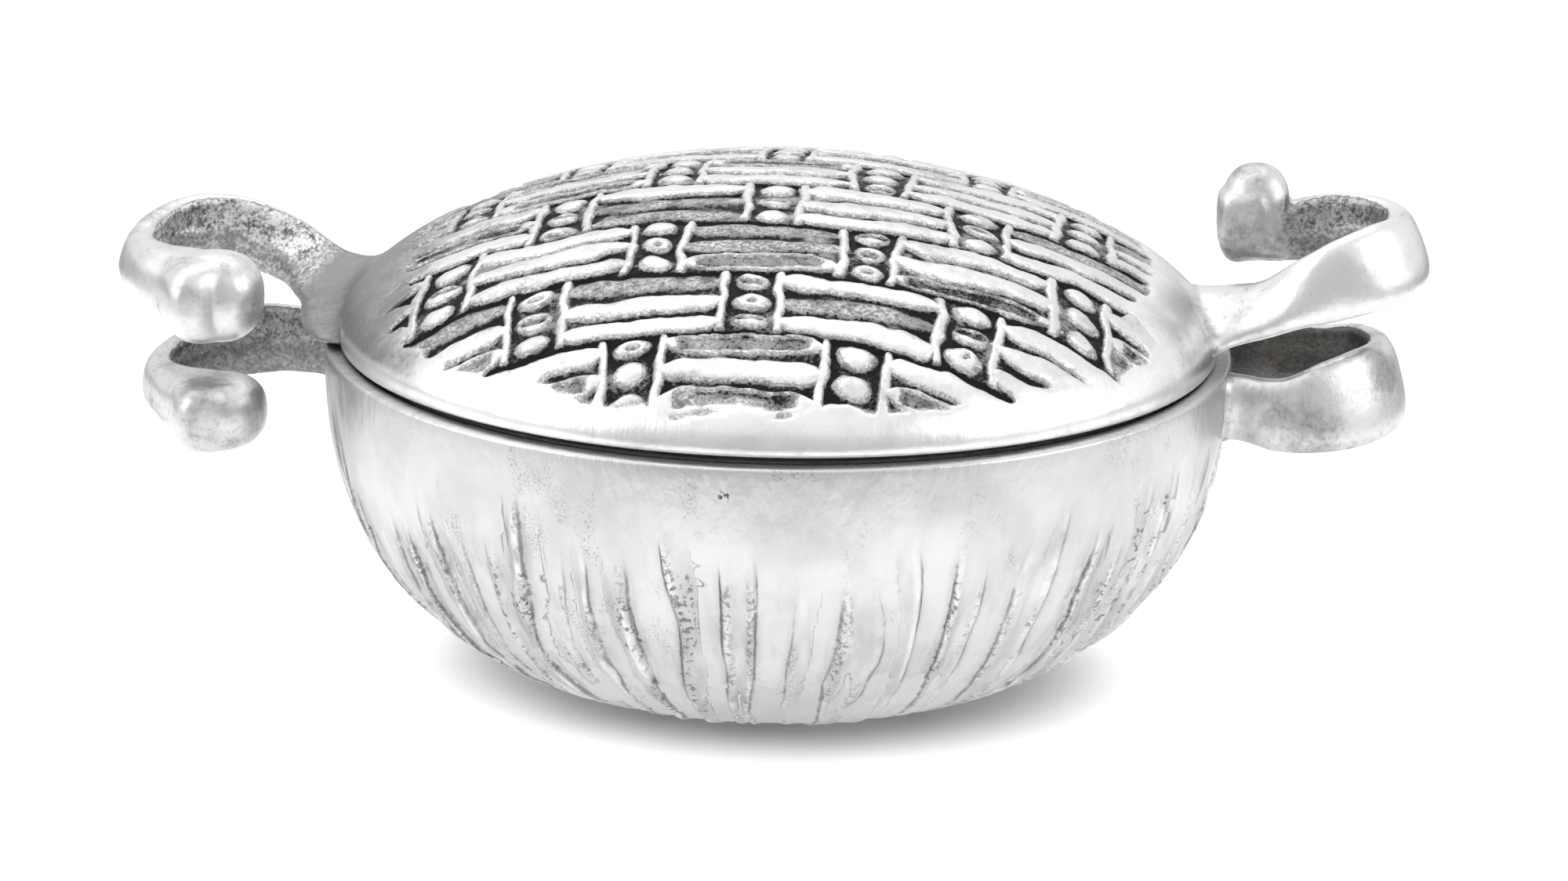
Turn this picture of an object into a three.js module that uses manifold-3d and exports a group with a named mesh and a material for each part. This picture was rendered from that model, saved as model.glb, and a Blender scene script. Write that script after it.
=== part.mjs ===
// A lidded casserole dish of cast aluminium with hand-shaped scroll handles.
// Millimetres, +Z up, +X towards the right-hand handles, -Y towards the front.
// The origin is the centre of the flat foot, on the table.
import * as THREE from 'three';
import { mergeVertices } from 'three/addons/utils/BufferGeometryUtils.js';
import Module from 'manifold-3d';

const wasm = await Module();
wasm.setup();

// Bowl
const bowl_height = 96;
const rim_radius = 125.5;
const foot_radius = 40;
const wall = 5.5;
const floor_thickness = 6;
const rim_edge = 1; // chamfer that softens the outer corner of the rim
const fullness = 2.7; // 2 would be an ellipse, more is squarer at the shoulder

// Cast ribs round the outside of the bowl
const rib_count = 72;
const rib_height = 1.2; // on the upright wall
const rib_height_low = 2; // where they gather under the belly
const smooth_band = 20; // plain wall left under the rim
const rib_start = 9; // how soon below that band the ribs reach their height
const rib_waver_share = 0.35; // no two ribs stand quite alike

// Lid
const lid_inset = 4; // the lid's edge lies this far inside the edge of the rim
const lid_height = 49; // from the rim's plane to the crown
const lid_edge = 4.6; // from the rim's plane to the top of the lid's edge
const lid_edge_round = 0.8;
const lid_shell = 5;
const dome_flank = 1.8;
const dome_crown = 0.6;
const seat_gap = 0.3;
const seat_lift = 1.3; // the lid's edge rides this much higher at front and back
const lip_clearance = 1.5; // between the locating lip and the bowl's mouth
const lip_thickness = 4;
const lip_depth = 4;

// Relief cast into the lid: courses of reeded panels and strings of beads
const relief_along = 110; // half its length towards the handles
const relief_across = 113; // half its width, front to back
const relief_depth = 2.5;
const relief_skim = 0.35; // its crests lie this far under the polished border
const relief_spread = 0.75; // radians of arc that even out the courses on the dome
const course_count = 9;
const reeds_per_course = 3;
const panel_period = 56;
const bead_strip = 14;
const panel_end = 2.5;
const reed_valley_share = 0.25;
const bead_share = 0.9;

// Scroll handles: a ribbon of cast metal, bent to a hook with a rounded thumb end
const lid_reach = 54; // from the rim's edge to the ribbon's middle, left of the lid
const lid_reach_right = 48;
const bowl_reach = 46.5;
const bowl_reach_right = 43;
const scroll_depth = 30;
const ribbon_height = 24;
const ribbon_thickness = 9;
const thumb_round = 7; // depth of the domed cap that closes the thumb end
const ribbon_squareness = 2.8;
const root_clearance = 0.3;
const neck_flare = 28; // radius of the sweep from the lid's edge into a neck
const neck_flare_start = 7; // that far inside the lid's edge
const neck_flare_share = 0.95; // where the sweep has turned along the lid's edge

const station_count = 24; // rings along a ribbon
const cap_count = 4; // rings over its thumb cap
const section_count = 12;
const rim_facet_count = rib_count * 2;
const lid_facet_count = 80;
const inner_facet_count = 48;
const overrun = 5;

// A closed three.js geometry as a solid, with its shared corners welded and its
// faces turned outwards.
function solid(geometry) {
  geometry.deleteAttribute('normal');
  geometry.deleteAttribute('uv');
  const welded = mergeVertices(geometry);
  const place = welded.attributes.position;
  const corner = [0, 1, 2].map(() => new THREE.Vector3());
  const triangles = [];
  let volume = 0;
  for (let i = 0; i < welded.index.count; i += 3) {
    const ids = [0, 1, 2].map((k) => welded.index.getX(i + k));
    if (new Set(ids).size < 3) continue;
    ids.forEach((id, k) => corner[k].fromBufferAttribute(place, id));
    volume += corner[0].dot(corner[1].cross(corner[2]));
    triangles.push(ids);
  }
  if (volume < 0) triangles.forEach((ids) => ids.reverse());
  const mesh = new wasm.Mesh({
    numProp: 3,
    vertProperties: place.array,
    triVerts: Uint32Array.from(triangles.flat()),
  });
  return new wasm.Manifold(mesh);
}

// Moves every corner of a geometry to the place that the function gives for it.
function warp(geometry, move) {
  const place = geometry.attributes.position;
  const point = new THREE.Vector3();
  for (let i = 0; i < place.count; i++) {
    point.fromBufferAttribute(place, i);
    move(point);
    place.setXYZ(i, point.x, point.y, point.z);
  }
  return geometry;
}

// A profile of [radius, height] pairs, axis to axis, turned about the upright axis.
function turned(profile, facets) {
  const points = profile.map(([radius, height]) => new THREE.Vector2(radius, height));
  return new THREE.LatheGeometry(points, facets).rotateX(Math.PI / 2);
}

const smooth = (value) => THREE.MathUtils.smoothstep(value, 0, 1);
const bend = (value, power) => Math.sign(value) * Math.abs(value) ** power;

// The bowl's curve from foot to rim. Heights are measured from the rim's plane,
// so they are negative; the curve is a superellipse that starts flat on the foot.
function bowl_curve(radius, height, foot, steps) {
  const end = Math.acos((foot / radius) ** (fullness / 2));
  const depth = height / Math.sin(end) ** (2 / fullness);
  const curve = [];
  for (let i = steps; i >= 0; i--) {
    const turn = (end * i) / steps;
    curve.push([
      radius * Math.cos(turn) ** (2 / fullness),
      -depth * Math.sin(turn) ** (2 / fullness),
    ]);
  }
  return curve;
}

// The outside of the bowl as one full solid, with its ribs, grown by a clearance.
function bowl_outside(grow) {
  const curve = bowl_curve(rim_radius + grow, bowl_height + grow, foot_radius, 10);
  curve.pop();
  const profile = [
    [0, -bowl_height - grow],
    ...curve,
    [rim_radius + grow, -rim_edge + grow],
    [rim_radius + grow - rim_edge, grow],
    [0, grow],
  ];
  return warp(turned(profile, rim_facet_count), (p) => {
    const radius = Math.hypot(p.x, p.y);
    const spot = Math.round((Math.atan2(p.y, p.x) / Math.PI) * rib_count);
    if (radius === 0 || spot % 2 === 0) return;
    const low = smooth(-p.z / bowl_height);
    const rise = smooth((-p.z - smooth_band) / rib_start);
    const foot = smooth(radius / foot_radius - 1);
    const waver = 1 - rib_waver_share * (0.5 + 0.5 * Math.sin(spot * spot));
    const height = THREE.MathUtils.lerp(rib_height, rib_height_low, low);
    const groove = height * rise * Math.min(foot * 4, 1) * waver;
    p.multiply(new THREE.Vector3(1 - groove / radius, 1 - groove / radius, 1));
  });
}

function make_bowl() {
  const mouth = rim_radius - wall;
  const floor_radius = foot_radius - wall;
  const hollow = [
    [0, floor_thickness - bowl_height],
    ...bowl_curve(mouth, bowl_height - floor_thickness, floor_radius, 8),
    [mouth, overrun],
    [0, overrun],
  ];
  return solid(bowl_outside(0)).subtract(solid(turned(hollow, inner_facet_count)));
}

// Height of a dome over the rim's plane, as a curve from its edge to its crown.
function dome_curve(radius, base, rise, steps) {
  const curve = [];
  for (let i = 0; i <= steps; i++) {
    const turn = (Math.PI / 2) * (i / steps);
    const reach = i === steps ? 0 : radius * Math.cos(turn) ** (2 / dome_flank);
    curve.push([reach, base + rise * Math.sin(turn) ** (2 * dome_crown)]);
  }
  return curve;
}

const lid_radius = rim_radius - lid_inset;
const dome_height = (radius) => {
  const inward = 1 - (radius / lid_radius) ** dome_flank;
  return lid_edge + (lid_height - lid_edge) * Math.max(inward, 0) ** dome_crown;
};

// The lid's outside, from the middle of its underside to its crown. Its edge is
// lifted towards the front and the back, where a shadow gap shows over the rim.
function lid_outside(grow, lip_radius) {
  const base = seat_gap - grow;
  const radius = lid_radius + grow;
  const lip = lip_radius ? [[0, -lip_depth], [lip_radius, -lip_depth], [lip_radius, base]] : [[0, base]];
  const profile = [
    ...lip,
    [radius - lid_edge_round, base],
    [radius, base + lid_edge_round],
    ...dome_curve(radius, lid_edge + grow, lid_height - lid_edge, 12),
  ];
  return warp(turned(profile, lid_facet_count), (p) => {
    const under = p.z < base + lid_edge_round * 2 && p.z >= base;
    if (under) p.z += seat_lift * Math.abs(p.y / radius) ** 1.5;
  });
}

// Places where the relief needs a line across its courses, and along them.
function relief_lines() {
  const half = panel_period / 2;
  const along = new Set();
  const strips = Math.ceil(relief_along / half);
  const edge = bead_strip / 2;
  for (let i = -strips; i <= strips; i++) {
    for (const offset of [-edge - panel_end, -edge, 0, edge, edge + panel_end]) {
      along.add(i * half + offset);
    }
  }
  const reeds = course_count * reeds_per_course;
  const across = Array.from({ length: reeds * 2 + 1 }, (_, i) => i / reeds - 1);
  return { along: [...along].sort((a, b) => a - b), across };
}

// How high the casting stands at a place on the lid: 1 on a crest, 0 in a recess.
// Place across the lid is given as a share from -1 at the front to 1 at the back.
function relief_level(x, across_share) {
  const reed = ((across_share + 1) / 2) * course_count * reeds_per_course;
  const course = Math.floor(reed / reeds_per_course + 1e-6);
  const in_reed = reed - Math.floor(reed + 1e-6);
  const on_seam = Math.abs(reed / reeds_per_course - Math.round(reed / reeds_per_course)) < 1e-3;
  if (on_seam) return 0;
  const shift = course % 2 ? 0 : 0.5;
  const period = x / panel_period + shift;
  const from_strip = Math.abs(period - Math.round(period)) * panel_period;
  const round = Math.sqrt(Math.max(0, 1 - (2 * in_reed - 1) ** 2));
  if (from_strip < bead_strip / 2) {
    const bead = 1 - ((2 * from_strip) / bead_strip) ** 2;
    return bead_share * bead * round;
  }
  const end = Math.min((from_strip - bead_strip / 2) / panel_end, 1);
  return end * THREE.MathUtils.lerp(reed_valley_share, 1, round);
}

// Everything over the relief: a slab whose underside is the relief's surface.
function relief_cutter() {
  const { along, across } = relief_lines();
  const slab = new THREE.BoxGeometry(1, 1, 1, along.length - 1, across.length - 1, 1);
  const reach = relief_across + overrun;
  return warp(slab, (p) => {
    const x = along[Math.round((p.x + 0.5) * (along.length - 1))];
    const across_share = across[Math.round((p.y + 0.5) * (across.length - 1))];
    const y = (reach * Math.sin(across_share * relief_spread)) / Math.sin(relief_spread);
    const skin = dome_height(Math.hypot(x, y)) - relief_skim;
    const recess = relief_depth * (1 - relief_level(x, across_share));
    p.set(x, y, p.z > 0 ? lid_height + overrun : skin - recess);
  });
}

function make_lid() {
  const mouth = rim_radius - wall;
  const lip_radius = mouth - lip_clearance;
  const inner_radius = lip_radius - lip_thickness;
  const inner_rise = lid_height - relief_depth - lid_shell;
  const hollow = [
    [0, -lip_depth - overrun],
    [inner_radius, -lip_depth - overrun],
    ...dome_curve(inner_radius, 0, inner_rise, 9),
  ];
  const field = [[0, 0], [1, 0], [1, lid_height + overrun * 2], [0, lid_height + overrun * 2]];
  const bounds = turned(field, lid_facet_count).scale(relief_along, relief_across, 1);
  const relief = solid(relief_cutter()).intersect(solid(bounds));
  return solid(lid_outside(0, lip_radius)).subtract(solid(turned(hollow, inner_facet_count))).subtract(relief);
}

// Handle routes. Each row is one station of the ribbon, from its root to its thumb:
// outwards as a share of the reach, sideways of the scroll's depth, top and bottom
// edge of the ribbon's height, thickness of the ribbon's, and the lean in degrees.
const lid_left_shares = [
  [-0.32, -0.03, 1.25, -0.5, 0.8, 67],
  [-0.12, 0.07, 1.04, -0.34, 0.8, 62],
  [0.08, 0.3, 0.85, 0.03, 0.8, 46],
  [0.28, 0.56, 1.02, 0.22, 0.8, 17],
  [0.56, 0.7, 1.21, 0.35, 0.9, -4],
  [0.82, 0.5, 1.26, 0.42, 0.95, -14],
  [0.96, 0.07, 1.18, 0.46, 1, -20],
  [0.96, -0.43, 1.08, 0.47, 1.1, -18],
  [0.8, -0.85, 1.08, 0.38, 1.7, -8],
  [0.6, -1.1, 1.1, 0.19, 2.4, 0],
  [0.48, -1.3, 1.08, 0.12, 3, 0],
];
const lid_right_shares = [
  [-0.36, 0.07, 1.32, -0.32, 0.8, -72],
  [-0.14, -0.07, 1.23, -0.19, 0.8, -62],
  [0.09, -0.27, 1.1, 0.18, 0.8, -42],
  [0.34, -0.47, 1.33, 0.5, 0.8, -16],
  [0.55, -0.47, 1.56, 0.62, 0.9, -6],
  [0.78, -0.3, 1.7, 0.73, 1, -14],
  [0.94, 0.03, 1.72, 0.82, 1, -23],
  [0.96, 0.43, 1.74, 0.9, 1, -22],
  [0.81, 0.83, 1.72, 0.92, 0.95, -12],
  [0.58, 1.03, 1.67, 0.86, 1, 0],
  [0.38, 1.08, 1.58, 0.84, 1.3, 0],
  [0.25, 1.08, 1.5, 0.84, 1.8, 0],
  [0.15, 1.09, 1.86, 0.87, 2.2, 0],
  [0.03, 1.1, 1.88, 0.92, 2.2, 0],
];
const bowl_left_shares = [
  [-0.18, 0.2, 0, -0.96, 1.4, 0],
  [0.03, 0.33, -0.04, -0.87, 1, 0],
  [0.29, 0.5, -0.04, -0.85, 0.9, 0],
  [0.57, 0.6, -0.08, -0.94, 0.9, 0],
  [0.84, 0.4, -0.22, -0.95, 0.95, -4],
  [1, 0, -0.36, -0.94, 1, -8],
  [1, -0.43, -0.41, -0.96, 1.1, -8],
  [0.83, -0.83, -0.38, -1.02, 1.7, 0],
  [0.63, -1.1, -0.33, -1.13, 2.45, 0],
  [0.53, -1.3, -0.33, -1.17, 2.75, 0],
];
const bowl_right_shares = [
  [-0.2, -0.3, 0, -0.98, 1.4, 0],
  [0.03, -0.43, 0.01, -0.86, 1, 0],
  [0.29, -0.55, -0.05, -0.9, 0.9, 0],
  [0.55, -0.55, 0.13, -0.89, 0.95, -8],
  [0.8, -0.35, 0.24, -0.86, 1, -12],
  [0.97, 0.03, 0.25, -0.8, 1, -16],
  [0.98, 0.43, 0.24, -0.74, 1, -15],
  [0.81, 0.73, 0.22, -0.68, 0.95, -7],
  [0.56, 0.84, 0.13, -0.67, 1, 0],
  [0.33, 0.87, 0.15, -0.74, 1.6, 0],
  [0.14, 0.9, 0.15, -0.8, 2.2, 0],
];

// How much wider a neck is on each side, at a place that far outside the lid's edge.
function flare_width(outside, flare) {
  if (flare === 0) return 0;
  const inward = 1 - (outside + neck_flare_start) / flare;
  return flare * (1 - Math.sqrt(1 - THREE.MathUtils.clamp(inward, 0, neck_flare_share) ** 2));
}

// One scroll handle: a round bar's grid, drawn along the route as a flat ribbon
// that leans at its neck, swells at its thumb and ends in a domed cap. Where its
// root flares, the wings of the flare run level with the edge of the lid.
function scroll_handle(side, reach, shares, flare = 0) {
  const spine = [];
  const girth = [];
  for (const [out, sideways, top, bottom, thick, lean] of shares) {
    const middle = (ribbon_height * (top + bottom)) / 2;
    const half = (ribbon_height * (top - bottom)) / 2;
    spine.push(new THREE.Vector3(side * (rim_radius + reach * out), scroll_depth * sideways, middle));
    girth.push(new THREE.Vector3((ribbon_thickness * thick) / 2, half, lean));
  }
  const path = new THREE.CatmullRomCurve3(spine, false, 'catmullrom', 0.5);
  const section = new THREE.CatmullRomCurve3(girth, false, 'catmullrom', 0.5);
  const bar = new THREE.CylinderGeometry(1, 1, 1, section_count, station_count + cap_count);
  const heading = new THREE.Vector3();
  return warp(bar, (p) => {
    const row = Math.round((p.y + 0.5) * (station_count + cap_count));
    const share = Math.min(row / station_count, 1);
    const turn = (Math.max(row - station_count, 0) / cap_count) * (Math.PI / 2) * 0.94;
    const shrink = Math.cos(turn) ** (2 / ribbon_squareness);
    const push = thumb_round * Math.sin(turn) ** (2 / ribbon_squareness);
    const middle = path.getPoint(share);
    const size = section.getPoint(share);
    const lean = THREE.MathUtils.degToRad(size.z);
    const radius = Math.min(Math.hypot(p.x, p.z), 1);
    const angle = Math.atan2(p.x, p.z);
    const over = radius * shrink * size.x * bend(Math.cos(angle), 2 / ribbon_squareness);
    const up = radius * shrink * size.y * bend(Math.sin(angle), 2 / ribbon_squareness);
    path.getTangent(share, heading);
    heading.setZ(0).normalize();
    const wide = flare_width(side * middle.x - lid_radius, flare);
    const wing = Math.abs(up / size.y) ** 3;
    const aside = over * Math.cos(lean) - up * Math.sin(lean) * (1 + (wide * wing) / size.y);
    const level = middle.z + up * Math.cos(lean);
    const edge_level = (seat_gap + lid_edge) / 2;
    p.set(
      middle.x + heading.x * push - heading.y * aside,
      middle.y + heading.y * push + heading.x * aside,
      THREE.MathUtils.lerp(level, edge_level, flare && (wide * wing) / flare) + over * Math.sin(lean),
    );
  });
}

// Handles stop just short of the castings that carry them.
const bowl_envelope = solid(bowl_outside(root_clearance));
const lid_envelope = solid(lid_outside(root_clearance, 0));
const cut_to_bowl = (handle) => solid(handle).subtract(bowl_envelope);
const cut_to_lid = (handle) => cut_to_bowl(handle).subtract(lid_envelope);

const dish = new THREE.Group();
dish.position.z = bowl_height;
const lid = new THREE.Group();
dish.add(lid);

function add(parent, name, shape, color, roughness) {
  const { vertProperties, triVerts } = shape.getMesh();
  const geometry = new THREE.BufferGeometry();
  geometry.setAttribute('position', new THREE.BufferAttribute(vertProperties, 3));
  geometry.setIndex(new THREE.BufferAttribute(triVerts, 1));
  geometry.computeVertexNormals();
  const mesh = new THREE.Mesh(geometry, new THREE.MeshStandardMaterial({ color, roughness, metalness: 1 }));
  mesh.name = name;
  parent.add(mesh);
}

const left = -1;
const right = 1;
const satin = '#b9babb';
const polished = '#d3d4d5';
add(dish, 'bowl', make_bowl(), satin, 0.42);
add(dish, 'bowl_handle_left', cut_to_bowl(scroll_handle(left, bowl_reach, bowl_left_shares)), polished, 0.3);
add(dish, 'bowl_handle_right', cut_to_bowl(scroll_handle(right, bowl_reach_right, bowl_right_shares)), polished, 0.3);
add(lid, 'lid', make_lid(), polished, 0.25);
add(lid, 'lid_handle_left', cut_to_lid(scroll_handle(left, lid_reach, lid_left_shares, neck_flare)), polished, 0.25);
add(lid, 'lid_handle_right', cut_to_lid(scroll_handle(right, lid_reach_right, lid_right_shares, neck_flare)), polished, 0.25);

const casserole = new THREE.Group();
casserole.add(dish);
export default casserole;
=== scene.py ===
import functools
import itertools
import math

import bmesh
import bpy
import numpy as np
from mathutils import Matrix, Vector
from mathutils.kdtree import KDTree


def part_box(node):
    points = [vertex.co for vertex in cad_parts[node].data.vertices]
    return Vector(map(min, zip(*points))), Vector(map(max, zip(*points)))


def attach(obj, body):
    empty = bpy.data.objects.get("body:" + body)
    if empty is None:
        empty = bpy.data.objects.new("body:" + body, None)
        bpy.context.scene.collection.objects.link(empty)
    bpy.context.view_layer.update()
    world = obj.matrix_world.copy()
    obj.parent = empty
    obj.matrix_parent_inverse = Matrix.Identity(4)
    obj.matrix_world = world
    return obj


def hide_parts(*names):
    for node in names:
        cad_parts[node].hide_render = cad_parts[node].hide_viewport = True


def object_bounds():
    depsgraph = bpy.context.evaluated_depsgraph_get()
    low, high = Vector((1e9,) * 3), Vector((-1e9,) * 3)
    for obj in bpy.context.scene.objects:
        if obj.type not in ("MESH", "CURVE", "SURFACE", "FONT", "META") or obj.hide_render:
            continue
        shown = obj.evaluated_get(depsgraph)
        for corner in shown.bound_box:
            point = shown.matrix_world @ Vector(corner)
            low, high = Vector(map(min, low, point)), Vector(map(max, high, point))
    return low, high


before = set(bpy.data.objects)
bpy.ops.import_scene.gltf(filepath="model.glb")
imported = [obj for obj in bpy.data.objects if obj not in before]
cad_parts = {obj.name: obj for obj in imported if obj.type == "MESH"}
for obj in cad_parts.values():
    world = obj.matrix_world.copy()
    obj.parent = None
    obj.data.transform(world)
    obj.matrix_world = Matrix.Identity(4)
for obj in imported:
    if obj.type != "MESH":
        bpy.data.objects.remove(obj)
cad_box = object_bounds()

bl_info = {
    "name": "Cast aluminium casserole dish",
    "version": (1, 0, 0),
    "blender": (4, 5, 0),
    "location": "View3D > Sidebar > Casserole",
    "description": "Builds a lidded casserole dish of cast aluminium with scroll handles",
    "category": "Add Mesh",
}

MM = 0.001
TURN = 2 * math.pi

# Sizes that the frame already holds
BOWL_HIGH, LID_HIGH = (Vector(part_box(name)[1]) for name in ("bowl", "lid"))
RIM_RADIUS, RIM_Z = BOWL_HIGH.x, BOWL_HIGH.z
LID_RADIUS = LID_HIGH.x

# Plain collar of the lid from which each of its scrolls grows
COLLAR_RADIUS = 105 * MM
COLLAR_ANGLE = math.radians(27)

# Patch of the bowl's wall from which each of its scrolls grows, and how far the patches
# on bowl and lid lie under the skin
WALL_PATCH_DEPTH = 36 * MM
WALL_PATCH_ANGLE = math.radians(17)
PATCH_SUNK = 0.3 * MM

# How deep under its curve the skin of the bowl's outside is still taken as such, and how
# far from a crease its material can still tell the distance
SKIN_DEPTH = 3 * MM
CREASE_REACH = 3 * MM

# How finely the castings are meshed, and the most triangles that are left of a mesh
WALL_STEPS, INNER_STEPS = 170, 16
SECTORS, SECTOR_STEPS = 24, 45
DOME_CELLS = 440
MOST_TRIANGLES = 190000
WELD_REACH = 0.001 * MM


def length(name, description, default):
    return bpy.props.FloatProperty(
        name=name, description=description, default=default,
        min=0, subtype="DISTANCE", unit="LENGTH",
    )


def share(name, description, default):
    return bpy.props.FloatProperty(name=name, description=description, default=default)


def count(name, description, default):
    return bpy.props.IntProperty(name=name, description=description, default=default, min=1)


def angle(name, description, default):
    return bpy.props.FloatProperty(
        name=name, description=description, default=math.radians(default),
        subtype="ANGLE", unit="ROTATION",
    )


def linear(hex_colour):
    """An sRGB hex value as linear red, green, blue and alpha."""
    parts = [int(hex_colour[i:i + 2], 16) / 255 for i in (1, 3, 5)]
    return [c / 12.92 if c <= 0.04045 else ((c + 0.055) / 1.055) ** 2.4 for c in parts] + [1.0]


def colour(name, description, default):
    return bpy.props.FloatVectorProperty(
        name=name, description=description, default=linear(default),
        size=4, min=0, max=1, subtype="COLOR",
    )


class DishBowlSizes(bpy.types.PropertyGroup):
    foot_radius: length("Foot radius", "Radius of the flat foot", 40 * MM)
    wall: length("Wall", "Thickness of the wall at the mouth", 5.5 * MM)
    floor: length("Floor", "Thickness of the bottom", 6 * MM)
    rim_edge: length("Rim edge", "Rounding of the rim's corners", 1 * MM)
    fullness: share("Fullness", "2 is an ellipse, more is squarer", 2.7)
    rib_count: count("Ribs", "Cast ribs round the bowl", 72)
    rib_height: length("Rib height", "Height of a rib on the wall", 1.2 * MM)
    rib_height_low: length("Rib height below", "Height of a rib under the belly", 2.2 * MM)
    cord_height: length("Cord height", "Height of the cord along a rib's edge", 0.6 * MM)
    smooth_band: length("Smooth band", "Plain wall under the rim", 9 * MM)
    rib_start: length("Rib start", "Length over which the ribs rise", 20 * MM)
    casting_waver: length("Casting waver", "How far the wall strays from true", 0.35 * MM)


class DishLidSizes(bpy.types.PropertyGroup):
    edge: length("Edge", "Top of the lid's edge over the rim", 4.6 * MM)
    edge_round: length("Edge rounding", "Rounding of the lid's edge", 1.2 * MM)
    flank: share("Flank", "Power of the dome's flank", 1.8)
    crown: share("Crown", "Power of the dome's crown", 0.6)
    skim: length("Skim", "Solid crests lie this far under the border", 0.35 * MM)
    shell: length("Shell", "Thickness under the relief", 5 * MM)
    seat_gap: length("Seat gap", "Clearance over the rim at the sides", 0.3 * MM)
    seat_lift: length("Seat lift", "Extra gap at front and back", 1.3 * MM)
    lip_clearance: length("Lip clearance", "Lip to the bowl's mouth", 1.5 * MM)
    lip_thickness: length("Lip thickness", "Thickness of the lip", 4 * MM)
    lip_depth: length("Lip depth", "Depth of the lip", 4 * MM)
    relief_along: length("Relief along", "Half length of the relief", 110 * MM)
    relief_across: length("Relief across", "Half width of the relief", 113 * MM)
    relief_overrun: length("Relief overrun", "Courses run on past the relief", 5 * MM)
    relief_bleed: length("Relief bleed", "Single crests run out into the border", 3.5 * MM)
    relief_shape: share("Relief outline", "2 is an ellipse, more is squarer", 2.4)
    relief_depth: length("Relief depth", "Crest to recess", 2.5 * MM)
    relief_spread: share("Relief spread", "Radians that even out the courses", 0.75)
    courses: count("Courses", "Courses from front to back", 9)
    reeds: count("Reeds", "Reeds in a course", 3)
    period: length("Period", "Panel and bead string together", 56 * MM)
    strip: length("Strip", "Width of a bead string", 14 * MM)
    panel_end: length("Panel end", "Gap beside a bead string", 2.5 * MM)


class DishScrollSizes(bpy.types.PropertyGroup):
    lid_reach: length("Lid reach", "Rim to ribbon, left of the lid", 54 * MM)
    lid_reach_right: length("Lid reach right", "Rim to ribbon, right of the lid", 48 * MM)
    bowl_reach: length("Bowl reach", "Rim to ribbon, left of the bowl", 46.5 * MM)
    bowl_reach_right: length("Bowl reach right", "Rim to ribbon, right of the bowl", 43 * MM)
    depth: length("Scroll depth", "Unit of the sideways places", 30 * MM)
    height: length("Ribbon height", "Unit of the ribbon's edges", 24 * MM)
    thickness: length("Ribbon thickness", "Unit of the ribbon's thickness", 9 * MM)
    thumb_round: length("Thumb cap", "Depth of the domed thumb cap", 7 * MM)
    squareness: share("Squareness", "2 is an ellipse, more is squarer", 2.8)
    bulb_squareness: share("Thumb squareness", "The same for the bulb of a thumb", 2.4)
    dish: share("Dish", "Hollowing of the inner face", 0.4)
    ledge: share("Ledge", "Hollowing left under the ledge that the sand core leaves", 0.2)
    flare: length("Neck flare", "Radius of the sweep from the lid's edge into a neck", 28 * MM)
    flare_start: length("Neck flare start", "The sweep starts so far inside the edge", 7 * MM)
    flare_share: share("Neck flare share", "Where the sweep has turned along the lid's edge", 0.95)
    fillet: length("Fillet", "Reach of the cast fillet at the root", 14 * MM)
    fillet_steps: count("Fillet steps", "Rounds of smoothing that make the fillet", 150)
    voxel: length("Mesh size", "Size of the faces on a scroll", 0.9 * MM)


class DishFinish(bpy.types.PropertyGroup):
    # Polished aluminium, also used for painted highlights on the ribs and glints in the crust
    bright: colour("Bright", "Polished aluminium", "#F2F2F3")
    satin: colour("Satin", "Satin aluminium", "#DCDDDE")
    # Also used as painted shade under the bowl's rim and at the ends of the lid's border
    haze: colour("Haze", "Thin oxide haze", "#B4B5B6")
    # Also used as painted shade beside the ribs and at the scrolls' roots
    grey: colour("As cast", "Rough as-cast skin", "#8C8B8A")
    oxide: colour("Oxide", "Dark oxide in the recesses", "#262422")
    # Dirt in casting pits, and also painted shade in the ribs' creases and inside the scrolls
    pit: colour("Pit", "Dirt in a casting pit", "#5E5B57")


class DishStage(bpy.types.PropertyGroup):
    distance: length("Camera distance", "Camera to the middle of the rim", 1.2)
    azimuth: angle("Azimuth", "Camera's turn towards +X", 5)
    elevation: angle("Elevation", "Camera's height over the rim's plane", 15.45)
    roll: angle("Roll", "Clockwise turn of the picture", 1.12)
    lens: share("Lens", "Focal length in mm on a 36 mm sensor", 99.07)
    aim_right: length("Aim right", "Picture centre, right of the rim's middle", 1.6 * MM)
    aim_down: length("Aim down", "Picture centre, below the rim's middle", 28.8 * MM)
    floor_size: length("Floor", "Width of the floor", 6.0)
    floor_colour: colour("Floor colour", "White sweep", "#F6F6F6")
    mirrored_colour: colour("Mirrored floor", "The sweep as the metal mirrors it", "#F0F0F0")
    # Also painted on the paper by the foot, for the camera, as a painted shadow
    far_colour: colour("Mirrored surroundings", "The far part of the sweep, mirrored", "#929396")


# Modelling helpers

def smooth(value):
    """0 to 1 with soft ends."""
    value = np.clip(value, 0, 1)
    return value * value * (3 - 2 * value)


def bend(value, power):
    """A power that keeps the sign."""
    return np.sign(value) * np.abs(value) ** power


def off_axis(at):
    """Distances from the dish's upright axis."""
    return np.hypot(at[:, 0], at[:, 1])


LATTICE = np.random.default_rng(4).random((64, 64, 64))


def noise(at, size, seed=0):
    """Random values from 0 to 1 that change softly over about that size in metres."""
    cell = at / size + 7.3 * seed
    low = np.floor(cell).astype(int)
    part = smooth(cell - low)
    value = 0
    for corner in itertools.product((0, 1), repeat=3):
        i, j, k = (low + corner).T % len(LATTICE)
        value = value + LATTICE[i, j, k] * np.prod(np.where(corner, part, 1 - part), axis=1)
    return value


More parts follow.
